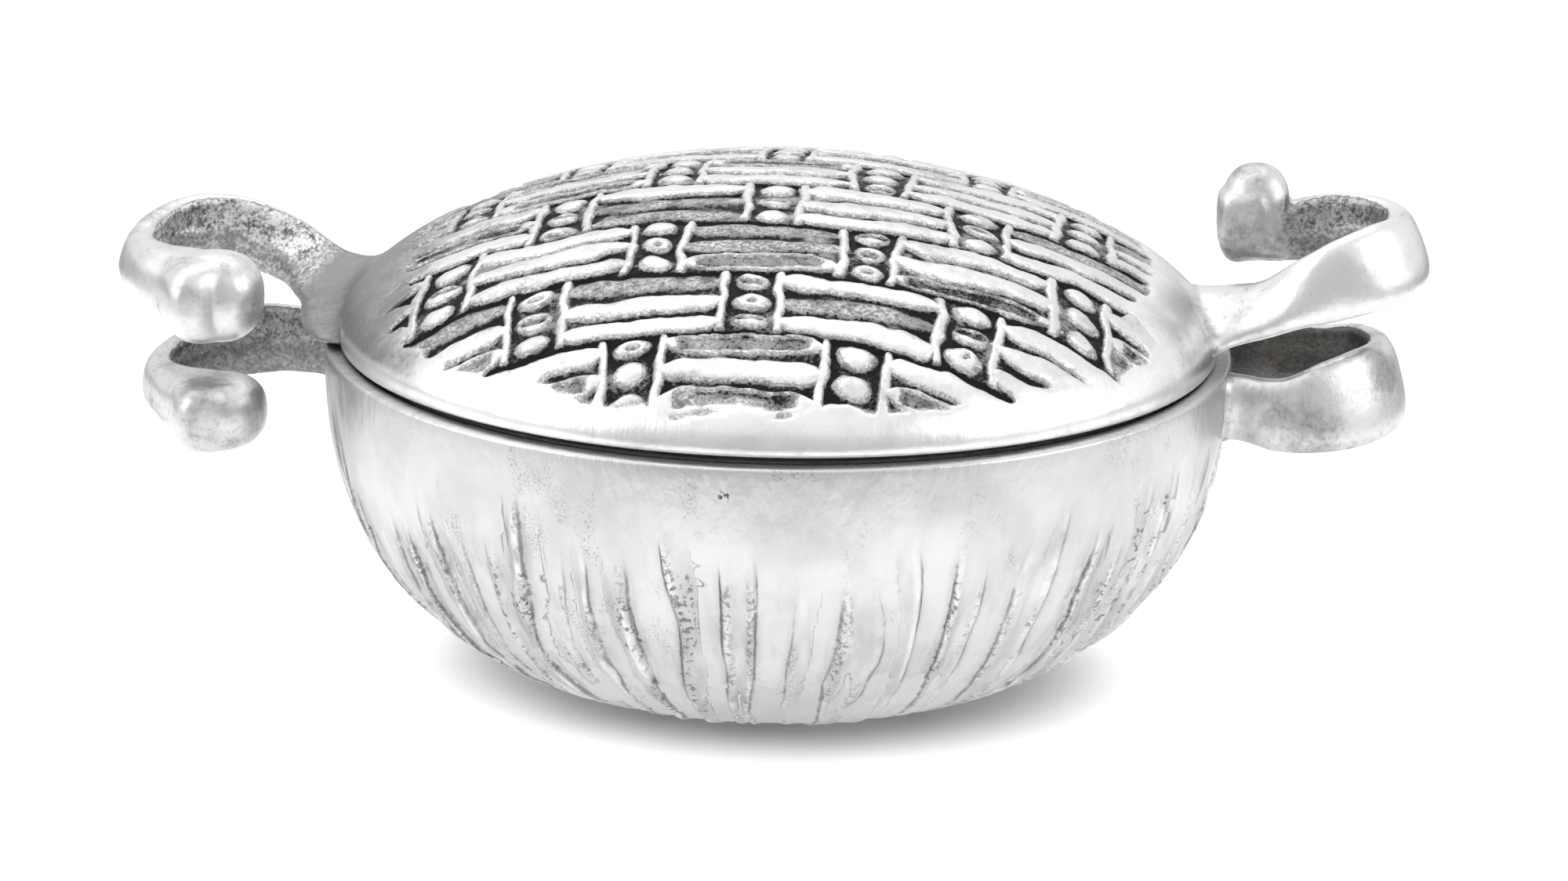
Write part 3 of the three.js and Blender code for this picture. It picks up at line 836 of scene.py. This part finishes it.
def bowl_carrier(bowl):
    """The bowl's wall as its scrolls' roots need it."""
    wall = bowl_curve(bowl, RIM_RADIUS, RIM_Z, bowl.foot_radius, 60)
    wall = [point for point in wall if point[1] > RIM_Z - WALL_PATCH_DEPTH]
    radii, heights = [r for r, _ in wall], [z for _, z in wall]
    top, depth = RIM_Z - PATCH_SUNK, bowl.wall * 0.8
    start, run = 6 * MM, 20 * MM  # from the rim down to the ribs, and along their rise
    among_ribs = [bowl.rib_height_low * float(smooth((RIM_Z - z - start) / run)) for z in heights]
    outer = [(r - PATCH_SUNK - dip, min(z, top)) for (r, z), dip in zip(wall, among_ribs)]
    return {
        "body": "base",
        "half_angle": WALL_PATCH_ANGLE,
        "innermost": RIM_RADIUS - depth,
        "profile": outer + [(r - depth, min(z, top)) for r, z in reversed(wall)],
        "off_skin": lambda at: off_axis(at) - np.interp(at[:, 2], heights, radii),
    }


def lid_carrier(lid):
    """The collars of the lid as its scrolls' roots need them."""
    _, inner = lip_radii(lid)
    over = np.linspace(COLLAR_RADIUS, LID_RADIUS, 24)
    under = np.linspace(inner, COLLAR_RADIUS, 16)
    low = RIM_Z + lid.seat_gap + PATCH_SUNK
    profile = [(r - PATCH_SUNK * 0.5, z - PATCH_SUNK) for r, z in zip(over, dome_height(lid, over))]
    profile += [(LID_RADIUS - PATCH_SUNK, low), (inner + PATCH_SUNK, low)]
    profile += [(r, z + MM) for r, z in zip(under, underside_height(lid, under))]
    crown, slope = 60 * MM, 0.75  # the flank begins out there, and is that steep
    radii = np.linspace(crown, LID_RADIUS, 200)[::-1]
    heights = dome_height(lid, radii)
    return {
        "body": "lid",
        "half_angle": COLLAR_ANGLE,
        "innermost": inner + PATCH_SUNK,
        "gap": lid.seat_gap,
        "profile": profile,
        "off_skin": lambda at: slope * (off_axis(at) - np.interp(at[:, 2], heights, radii)),
    }


# Materials

# Scale of a pattern that is a millimetre wide
PER_MM = 1 / MM

# What the materials are made of: Blender's kind of node, its settings, the sockets that
# are given, each with its usual value, and the output that is read. Any name that isn't
# here is an operation of a Math node.
NODES = {
    "place": ("ShaderNodeTexCoord", {}, {}, "Object"),
    "direction": ("ShaderNodeTexCoord", {}, {}, "Generated"),
    "mark": ("ShaderNodeAttribute", {}, {}, "Fac"),
    "noise": (
        "ShaderNodeTexNoise", {},
        {"Vector": None, "Scale": None, "Detail": 4.0, "Roughness": 0.55}, "Fac",
    ),
    "ramp": (
        "ShaderNodeMapRange", {"interpolation_type": "SMOOTHSTEP"},
        {"Value": None, "From Min": 0.0, "From Max": 1.0, "To Min": 0.0, "To Max": 1.0}, "Result",
    ),
    "blend": ("ShaderNodeMix", {"data_type": "RGBA"}, {0: None, 6: None, 7: None}, 2),
    "choice": ("ShaderNodeMix", {"data_type": "FLOAT"}, {0: None, 2: None, 3: None}, 0),
    "bump": (
        "ShaderNodeBump", {},
        {"Height": None, "Distance": None, "Strength": None, "Normal": None}, "Normal",
    ),
    "squashed": ("ShaderNodeVectorMath", {"operation": "MULTIPLY"}, {0: None, 1: None}, 0),
    "distance": ("ShaderNodeVectorMath", {"operation": "LENGTH"}, {0: None}, "Value"),
    "point": ("ShaderNodeCombineXYZ", {}, {"X": None, "Y": None, "Z": None}, "Vector"),
    **{axis: ("ShaderNodeSeparateXYZ", {}, {0: None}, axis) for axis in "XYZ"},
    **{
        ray: ("ShaderNodeLightPath", {}, {}, f"Is {ray} Ray")
        for ray in ("Camera", "Glossy", "Diffuse", "Transmission")
    },
}


def node(tree, name, *values, **settings):
    """Adds a node with its settings; each socket takes a value or another node's output."""
    math_node = ("ShaderNodeMath", {"operation": name}, {0: None, 1: None}, 0)
    kind, usual_settings, sockets, output = NODES.get(name, math_node)
    made = tree.nodes.new(kind)
    for setting, value in {**usual_settings, **settings}.items():
        setattr(made, setting, value)
    for socket, value in {**sockets, **dict(zip(sockets, values))}.items():
        if isinstance(value, bpy.types.NodeSocket):
            tree.links.new(value, made.inputs[socket])
        elif value is not None:
            made.inputs[socket].default_value = value
    return made.outputs[output]


def new_material(name, **constants):
    """A material whose surface has those constants, the function that adds a node to
    it, and the object's places."""
    material = bpy.data.materials.new(name)
    material.use_nodes = True
    surface = material.node_tree.nodes["Principled BSDF"]
    for socket, value in constants.items():
        surface.inputs[socket.replace("_", " ")].default_value = value
    add = functools.partial(node, material.node_tree)
    return material, add, add("place")


def dress(material, **outputs):
    """Links each of those outputs to the socket of the surface that it is named for."""
    surface = material.node_tree.nodes["Principled BSDF"]
    for socket, output in outputs.items():
        material.node_tree.links.new(output, surface.inputs[socket.replace("_", " ")])
    return material


def product(add, *factors):
    """All the factors multiplied."""
    return functools.reduce(functools.partial(add, "MULTIPLY"), factors)


def ragged(add, value, *noises):
    """The value made ragged by each noise, which strays from 0.5, by its amount."""
    for noise_value, amount in noises:
        value = add("ADD", value, add("MULTIPLY", add("SUBTRACT", noise_value, 0.5), amount))
    return value


def painted(add, base, *layers):
    """A colour under layers, each with its share and its colour."""
    for layer_share, layer_colour in layers:
        base = add("blend", layer_share, base, layer_colour)
    return base


def relieved(add, *layers):
    """A stack of bumps, each a height value with its depth in metres and its strength."""
    normal = None
    for height, depth, strength in layers:
        normal = add("bump", height, depth, strength, normal)
    return normal


def round_the_dish(add, where, stretch):
    """Places as arc length round the dish and height, so that marks can run upright."""
    x, y, z = (add(axis, where) for axis in "XYZ")
    arc = add("MULTIPLY", add("ARCTAN2", y, x), RIM_RADIUS)
    out = add("DIVIDE", add("distance", where), stretch)
    return add("point", arc, out, add("DIVIDE", z, stretch))


def satin_casting(finish):
    """Sand-cast aluminium, blasted and rubbed to a satin: an even pale grey with faint
    clouds and strips of small casting pits, with painted shade in the crease and the recess
    beside each rib, under the rim and at the scrolls' roots, and a painted highlight along
    each rib's edge."""
    material, add, where = new_material("satin_casting", Metallic=1.0)
    upright = round_the_dish(add, where, 2.5)
    marks = ("off_crease", "crease", "pitted", "low")
    off_crease, strength, pitted, low = (add("mark", attribute_name=name) for name in marks)
    clouds = add("ramp", add("noise", where, PER_MM / 26), 0.35, 0.7)
    fine = add("noise", where, PER_MM / 0.9, 3.0, 0.7)
    long_cloud = add("noise", upright, PER_MM / 7, 3.0)

    # The crease: a thin line of painted shade where the skin steps down from the rib
    stray = ragged(add, off_crease, (add("noise", where, PER_MM / 3), 0.7 * MM))
    crease_shade = product(
        add,
        add("ramp", add("ABSOLUTE", stray), 0.12 * MM, 0.50 * MM, 1.0, 0.0),
        add("ramp", strength, 0.1, 0.6),
        add("ramp", long_cloud, 0.36, 0.52),
    )

    # Pits: specks on the ribs, in patches that run upright, and in strips by the crease
    speck = add("noise", where, PER_MM / 1.5, 2.0)
    specks = add("ramp", speck, 0.56, 0.64)
    patches = add("ramp", ragged(add, long_cloud, (pitted, 0.22)), 0.53, 0.62)
    strips = product(
        add,
        add("ramp", off_crease, -1.0 * MM, 0.2 * MM),
        add("ramp", off_crease, 1.8 * MM, 2.9 * MM, 1.0, 0.0),
        strength,
        add("ramp", add("noise", upright, PER_MM / 13, 3.0), 0.43, 0.56),
    )
    pits = add(
        "MAXIMUM",
        product(add, specks, patches, add("ramp", pitted, 0.1, 0.6)),
        add("MULTIPLY", strips, add("ramp", speck, 0.52, 0.62)),
    )
    dust = add(
        "MULTIPLY",
        add("ramp", add("noise", where, PER_MM / 0.6, 2.0), 0.52, 0.62),
        add("ramp", add("noise", upright, PER_MM / 11), 0.56, 0.68),
    )
    streaked = add("noise", round_the_dish(add, where, 5.0), PER_MM / 5, 3.0)
    streaks = add("MULTIPLY", add("ramp", streaked, 0.5, 0.7), add("ramp", low, 0.05, 0.4))
    stains = add("MULTIPLY", add("ramp", add("noise", where, PER_MM / 19, 2.0), 0.73, 0.76), specks)

    # Painted shade greys the skin under the rim, at the roots of the scrolls (more on the
    # left) and in the recess beside each rib; a painted highlight runs along the ribs' edges
    x, z = add("X", where), add("Z", where)
    # Painted shade: a greyer band under the rim
    ragged_z = ragged(add, z, (long_cloud, 40 * MM))
    under_rim = add("ramp", ragged_z, RIM_Z - 34 * MM, RIM_Z - 6 * MM)
    cloudy_z = ragged(add, z, (add("noise", where, PER_MM / 16), 24 * MM))
    # Painted shade at the roots of the scrolls, high on the wall, stronger on the left
    left_root_shade = add("ramp", x, -118 * MM, -98 * MM, 0.7, 0.0)
    right_root_shade = add("ramp", x, 112 * MM, 122 * MM, 0.0, 0.4)
    high_up = add("ramp", cloudy_z, RIM_Z - 36 * MM, RIM_Z - 12 * MM)
    painted_root_shade = add("MULTIPLY", add("ADD", left_root_shade, right_root_shade), high_up)
    # Painted highlight: the raised cord beside each crease is painted bright
    painted_rib_highlight = product(
        add,
        add("ramp", off_crease, 0.2 * MM, 0.9 * MM),
        add("ramp", off_crease, 1.6 * MM, 2.9 * MM, 1.0, 0.0),
        strength,
        add("ramp", add("noise", upright, PER_MM / 9), 0.4, 0.55),
    )
    # Painted shade: the recess just past each rib's crease is greyed
    painted_rib_shade = product(
        add,
        add("ramp", off_crease, -2.9 * MM, -0.4 * MM),
        strength,
        add("ramp", long_cloud, 0.35, 0.6, 0.05, 0.4),
    )

    base = painted(
        add, finish.satin,
        (add("MULTIPLY", clouds, 0.35), finish.haze),
        (add("MULTIPLY", under_rim, 0.3), finish.haze),
        (painted_rib_shade, finish.grey),
        (painted_rib_highlight, finish.bright),
        (add("MULTIPLY", streaks, 0.35), finish.haze),
        (add("MULTIPLY", dust, 0.6), finish.grey),
        (product(add, strips, add("ramp", fine, 0.38, 0.62), 0.55), finish.grey),
        (add("MULTIPLY", crease_shade, 0.55), finish.pit),
        (add("MULTIPLY", pits, 0.7), finish.pit),
        (painted_root_shade, finish.grey),
        (stains, finish.pit),
    )
    step = add("ramp", stray, -0.6 * MM, 0.25 * MM)
    lumps = add("noise", where, PER_MM / 3, 3.0)
    bumps = relieved(
        add,
        (add("MULTIPLY", step, add("ramp", strength, 0.0, 0.5)), 0.35 * MM, 0.8),
        (add("noise", upright, PER_MM / 5, 3.0), 0.9 * MM, 0.6),
        (add("MULTIPLY", lumps, add("ADD", pitted, low)), 0.35 * MM, 0.8),
        (add("MULTIPLY", pits, -1.0), 0.35 * MM, 0.9),
        (fine, 0.10 * MM, 0.45),
    )
    rough = add("ADD", add("ramp", clouds, 0.0, 1.0, 0.30, 0.38), add("MULTIPLY", fine, 0.1))
    return dress(material, Base_Color=base, Roughness=rough, Normal=bumps)


def polished_skin(add, where, finish, dull_and_shade):
    """Hand-polished skin of the lid and of the scrolls: soft clouds of thin haze, a fine
    mottle and a few pits, greyer and rougher where it is dull or carries painted shade.
    Gives its colour and its roughness."""
    clouds = add("ramp", add("noise", where, PER_MM / 17, 5.0, 0.6), 0.42, 0.74)
    mottle = add("ramp", add("noise", where, PER_MM / 1.6, 4.0, 0.7), 0.42, 0.72)
    pits = add("ramp", add("noise", where, PER_MM / 2.4, 3.0, 0.6), 0.70, 0.76)
    haze = add("MAXIMUM", add("MULTIPLY", clouds, 0.45), ragged(add, dull_and_shade, (clouds, 0.35)))
    haze = add("ADD", haze, add("MULTIPLY", mottle, 0.14))
    mottled = add("ADD", clouds, add("MULTIPLY", mottle, 0.5))
    # Greyer where the skin is dull or carries painted shade
    dull_and_shaded_grey = add("ramp", ragged(add, dull_and_shade, (mottled, 0.4)), 0.4, 1.1)
    skin = painted(
        add, finish.bright,
        (haze, finish.haze), (dull_and_shaded_grey, finish.grey), (add("MULTIPLY", pits, 0.7), finish.grey),
    )
    rough = add("ramp", haze, 0.0, 1.0, 0.30, 0.44)
    return skin, add("ADD", rough, add("MULTIPLY", mottle, 0.05))


def relief_casting(finish):
    """Sand-cast aluminium with buffed bright crests, rough grey wells and black oxide
    left in the narrow recesses; the border is polished with faint upright file marks."""
    material, add, where = new_material("relief_casting", Metallic=1.0)
    sunk, well, field = (add("mark", attribute_name=name) for name in ("sunk", "well", "field"))
    speck = add("noise", where, PER_MM / 1.1, 4.0, 0.7)
    clouds = add("noise", where, PER_MM / 13, 3.0)
    clumps = add("noise", where, PER_MM / 4, 3.0)
    file_marks = add("noise", round_the_dish(add, where, 14.0), PER_MM / 0.8, 2.0)
    depth = ragged(add, sunk, (speck, 0.75), (clouds, 0.35))
    oxide = add("MULTIPLY", add("ramp", depth, 0.46, 0.64), add("ramp", sunk, 0.25, 0.5))
    granular = add("MULTIPLY", add("ramp", depth, 0.18, 0.36), add("ramp", sunk, 0.08, 0.22))
    granular = add("MAXIMUM", granular, add("ramp", ragged(add, well, (clumps, 0.6)), 0.35, 0.7))

    # The border has painted shade at both ends, where the scrolls leave it, above all on the
    # left; its outermost band stays pale. Over the relief the skin is a little duller
    x, z = add("X", where), add("Z", where)
    left_end_shade = add("ramp", x, -110 * MM, -70 * MM, 1.1, 0.0)
    left_end_shade = add("MULTIPLY", left_end_shade, add("ramp", z, RIM_Z + 4 * MM, RIM_Z + 8 * MM))
    end_shade = add("ADD", left_end_shade, add("ramp", x, 90 * MM, 118 * MM, 0.0, 0.45))
    dull_and_shade = add("MAXIMUM", end_shade, add("MULTIPLY", field, 0.38))
    skin, skin_rough = polished_skin(add, where, finish, dull_and_shade)

    rough_cast = painted(
        add, finish.grey,
        (add("ramp", speck, 0.42, 0.62), finish.satin),
        (add("ramp", clumps, 0.5, 0.66, 0.0, 0.55), finish.pit),
    )
    base = painted(add, skin, (granular, rough_cast), (oxide, finish.oxide))
    on_rough = add("ADD", add("MULTIPLY", granular, 0.8), 0.12)
    bumps = relieved(
        add,
        (clouds, 0.8 * MM, 0.35),
        (add("MULTIPLY", clumps, add("ramp", field, 0.0, 1.0, 0.15, 1.0)), 0.5 * MM, 0.6),
        (add("MULTIPLY", speck, on_rough), 0.5 * MM, 0.8),
        (add("MULTIPLY", file_marks, add("SUBTRACT", 1.0, field)), 0.12 * MM, 0.4),
    )
    rough = add("ADD", skin_rough, add("MULTIPLY", granular, 0.18))
    return dress(material, Base_Color=base, Roughness=rough, Normal=bumps)


def scroll_casting(finish):
    """The same casting, linished and polished by hand outside, and left as it came from
    the sand inside the scrolls: grey and granular, crusted and pitted over the ledge, with
    painted glints among the crust's pits and painted shade on the inner faces."""
    material, add, where = new_material("scroll_casting", Metallic=1.0)
    marks = ("as_cast", "dull_and_shade", "inner_shade")
    inside, dull_and_shade, inner_shade = (add("mark", attribute_name=name) for name in marks)
    speck = add("noise", where, PER_MM / 1.2, 5.0, 0.7)
    clumps = add("noise", where, PER_MM / 5, 4.0, 0.6)
    clouds = add("noise", where, PER_MM / 13, 3.0)
    file_marks = add("noise", add("squashed", where, (1, 1, 0.07)), PER_MM / 0.8, 2.0)
    cast = add("ramp", ragged(add, inside, (clouds, 0.6), (clumps, 0.4)), 0.2, 0.45)
    crust = add("ramp", ragged(add, inside, (clouds, 0.3), (clumps, 0.5)), 0.72, 0.92)

    skin, skin_rough = polished_skin(add, where, finish, dull_and_shade)
    # Dark pits in the crust, and painted glints between them
    pits_and_glints = add("ramp", ragged(add, speck, (clumps, 0.7)), 0.34, 0.62)
    sandy = painted(
        add, finish.grey,
        (add("ramp", speck, 0.36, 0.66), finish.satin),
        (add("ramp", clumps, 0.48, 0.62, 0.0, 0.6), finish.grey),
        (add("MULTIPLY", crust, 0.8), add("blend", pits_and_glints, finish.pit, finish.bright)),
        # Painted shade on the inner faces
        (inner_shade, finish.pit),
    )
    bumps = relieved(
        add,
        (clouds, 0.9 * MM, 0.4),
        (add("MULTIPLY", clumps, add("ADD", add("MULTIPLY", cast, 0.85), 0.15)), 0.8 * MM, 0.6),
        (add("MULTIPLY", speck, add("ADD", add("MULTIPLY", cast, 0.9), 0.1)), 0.35 * MM, 0.6),
        (add("MULTIPLY", file_marks, add("SUBTRACT", 1.0, cast)), 0.10 * MM, 0.35),
    )
    base = add("blend", cast, skin, sandy)
    rough = add("ADD", skin_rough, add("MULTIPLY", cast, 0.08))
    return dress(material, Base_Color=base, Roughness=rough, Normal=bumps)


def finish_named(maker):
    """The material of that maker, made on first use."""
    return bpy.data.materials.get(maker.__name__) or maker(bpy.context.scene.dish_finish)


# Operators

class DISH_OT_bowl(bpy.types.Operator):
    """Adds the ribbed bowl"""
    bl_idname = "dish.bowl"
    bl_label = "Bowl"

    def execute(self, context):
        make_bowl(context.scene.dish_bowl, finish_named(satin_casting))
        return {"FINISHED"}


class DISH_OT_lid(bpy.types.Operator):
    """Adds the domed lid with its relief"""
    bl_idname = "dish.lid"
    bl_label = "Lid"

    def execute(self, context):
        make_lid(context.scene.dish_lid, finish_named(relief_casting))
        return {"FINISHED"}


class DISH_OT_scrolls(bpy.types.Operator):
    """Adds the four scroll handles with their roots"""
    bl_idname = "dish.scrolls"
    bl_label = "Scroll handles"

    def execute(self, context):
        scene = context.scene
        sizes, material = scene.dish_scrolls, finish_named(scroll_casting)
        carriers = {"bowl": bowl_carrier(scene.dish_bowl), "lid": lid_carrier(scene.dish_lid)}
        scrolls = [
            ("bowl", "left", -1, sizes.bowl_reach, BOWL_LEFT_SHARES),
            ("lid", "left", -1, sizes.lid_reach, LID_LEFT_SHARES),
            ("bowl", "right", 1, sizes.bowl_reach_right, BOWL_RIGHT_SHARES),
            ("lid", "right", 1, sizes.lid_reach_right, LID_RIGHT_SHARES),
        ]
        for casting, end, side, reach, shares in scrolls:
            plan = (f"{casting}_scroll_{end}", side, reach, shares, f"{casting}_handle_{end}")
            make_scroll(sizes, plan, carriers[casting], material)
        return {"FINISHED"}


class DISH_OT_stage(bpy.types.Operator):
    """Adds the white floor, the light and the camera"""
    bl_idname = "dish.stage"
    bl_label = "Stage"

    def execute(self, context):
        scene = context.scene
        stage = scene.dish_stage
        scene.view_settings.view_transform = "Standard"

        bm = bmesh.new()
        bmesh.ops.create_grid(bm, x_segments=2, y_segments=2, size=stage.floor_size / 2)
        floor = bpy.data.objects.new("floor", mesh_of(bm, "floor"))
        scene.collection.objects.link(floor)
        floor.data.materials.append(white_sweep(stage))

        light_world(scene)
        # Each softbox with its place, its width and its watts
        lamps = [
            ("left_softbox", (-1.6, -0.7, 0.9), 1.7, 12),
            ("right_softbox", (1.7, -0.5, 0.8), 1.4, 9),
            ("overhead_softbox", (-0.3, 0.5, 1.7), 2.0, 8),
        ]
        for name, place, size, power in lamps:
            data = bpy.data.lights.new(name, "AREA")
            data.size, data.energy = size, power
            lamp = bpy.data.objects.new(name, data)
            lamp.location = place
            aim = Vector((0, 0, 0.08)) - lamp.location
            lamp.rotation_euler = aim.to_track_quat("-Z", "Y").to_euler()
            scene.collection.objects.link(lamp)

        a, e = stage.azimuth, stage.elevation
        back = Vector((math.sin(a) * math.cos(e), -math.cos(a) * math.cos(e), math.sin(e)))
        right = Vector((math.cos(a), math.sin(a), 0))
        up = back.cross(right)
        turn = Matrix.Rotation(stage.roll, 3, back)
        right, up = turn @ right, turn @ up
        middle = Vector((0, 0, RIM_Z))
        eye = middle + back * stage.distance
        target = middle + right * stage.aim_right - up * stage.aim_down
        back = (eye - target).normalized()
        right = up.cross(back).normalized()
        up = back.cross(right)
        data = bpy.data.cameras.new("camera")
        data.lens, data.sensor_width = stage.lens, 36
        camera = bpy.data.objects.new("camera", data)
        facing = Matrix((right, up, back)).transposed().to_4x4()
        camera.matrix_world = Matrix.Translation(eye) @ facing
        scene.collection.objects.link(camera)
        scene.camera = camera
        return {"FINISHED"}


def white_sweep(stage):
    """Matt white paper that keeps a soft shadow: a little of its white is its own light,
    for the camera and for what the metal mirrors. For the camera that light rises away from
    the foot, and the paper by the foot is painted darker, which paints a tight, dark shadow."""
    material, add, where = new_material(
        "white_sweep", Roughness=0.9, Specular_IOR_Level=0.0, Emission_Color=(1, 1, 1, 1))
    seen, mirrored = add("Camera"), add("Glossy")
    away = add("distance", add("squashed", where, (0.76, 1, 1)))
    near = add("ramp", away, 0.36, 0.6, 1.0, 0.0)
    # For the camera the paper's own light, which whitens the background, is nil by the foot and
    # rises outwards: painted light that tightens the shadow
    glow = add(
        "ADD",
        add("MULTIPLY", seen, add("ramp", away, 0.052, 0.094, 0.0, 0.6)),
        product(add, mirrored, near, 0.28),
    )
    paper = painted(
        add, stage.floor_colour,
        (mirrored, stage.mirrored_colour),
        (add("MULTIPLY", mirrored, add("SUBTRACT", 1.0, near)), stage.far_colour),
        # Painted shadow: for the camera the paper by the foot takes the dark surroundings colour
        (add("MULTIPLY", seen, add("ramp", away, 0.05, 0.08, 0.5, 0.0)), stage.far_colour),
    )
    return dress(material, Emission_Strength=glow, Base_Color=paper)


def light_world(scene):
    """A white room that is dimmer behind the camera and brighter at both sides."""
    world = bpy.data.worlds.new("studio")
    world.use_nodes = True
    scene.world = world
    add = functools.partial(node, world.node_tree)
    direction = add("direction")
    behind_camera = add("ramp", add("Y", direction), -0.95, -0.1, 1.0, 0.0)
    overhead = add("ramp", add("Z", direction), 0.25, 0.8)
    dimmed = add("MULTIPLY", behind_camera, add("ramp", overhead, 0.0, 1.0, 0.34, 0.05))
    sent = add("choice", add("Diffuse"), add("SUBTRACT", 1.0, dimmed), 0.95)
    seen = add("MAXIMUM", add("Camera"), add("Transmission"))
    room = world.node_tree.nodes["Background"].inputs
    room["Color"].default_value = (1, 1, 1, 1)
    world.node_tree.links.new(add("choice", seen, sent, 1.0), room["Strength"])


class DISH_PT_sidebar(bpy.types.Panel):
    """Lists the steps that build the dish"""
    bl_idname = "DISH_PT_sidebar"
    bl_label = "Casserole dish"
    bl_space_type = "VIEW_3D"
    bl_region_type = "UI"
    bl_category = "Casserole"

    def draw(self, context):
        for step in STEPS:
            self.layout.operator(step.bl_idname)


STEPS = (DISH_OT_bowl, DISH_OT_lid, DISH_OT_scrolls, DISH_OT_stage)
GROUPS = {
    "dish_bowl": DishBowlSizes,
    "dish_lid": DishLidSizes,
    "dish_scrolls": DishScrollSizes,
    "dish_finish": DishFinish,
    "dish_stage": DishStage,
}


def register():
    for kind in (*GROUPS.values(), *STEPS, DISH_PT_sidebar):
        bpy.utils.register_class(kind)
    for name, kind in GROUPS.items():
        setattr(bpy.types.Scene, name, bpy.props.PointerProperty(type=kind))


def unregister():
    for name in GROUPS:
        delattr(bpy.types.Scene, name)
    for kind in reversed((*GROUPS.values(), *STEPS, DISH_PT_sidebar)):
        bpy.utils.unregister_class(kind)


def main():
    register()
    bpy.ops.dish.bowl()
    bpy.ops.dish.lid()
    bpy.ops.dish.scrolls()
    bpy.ops.dish.stage()


if __name__ == "__main__":
    main()
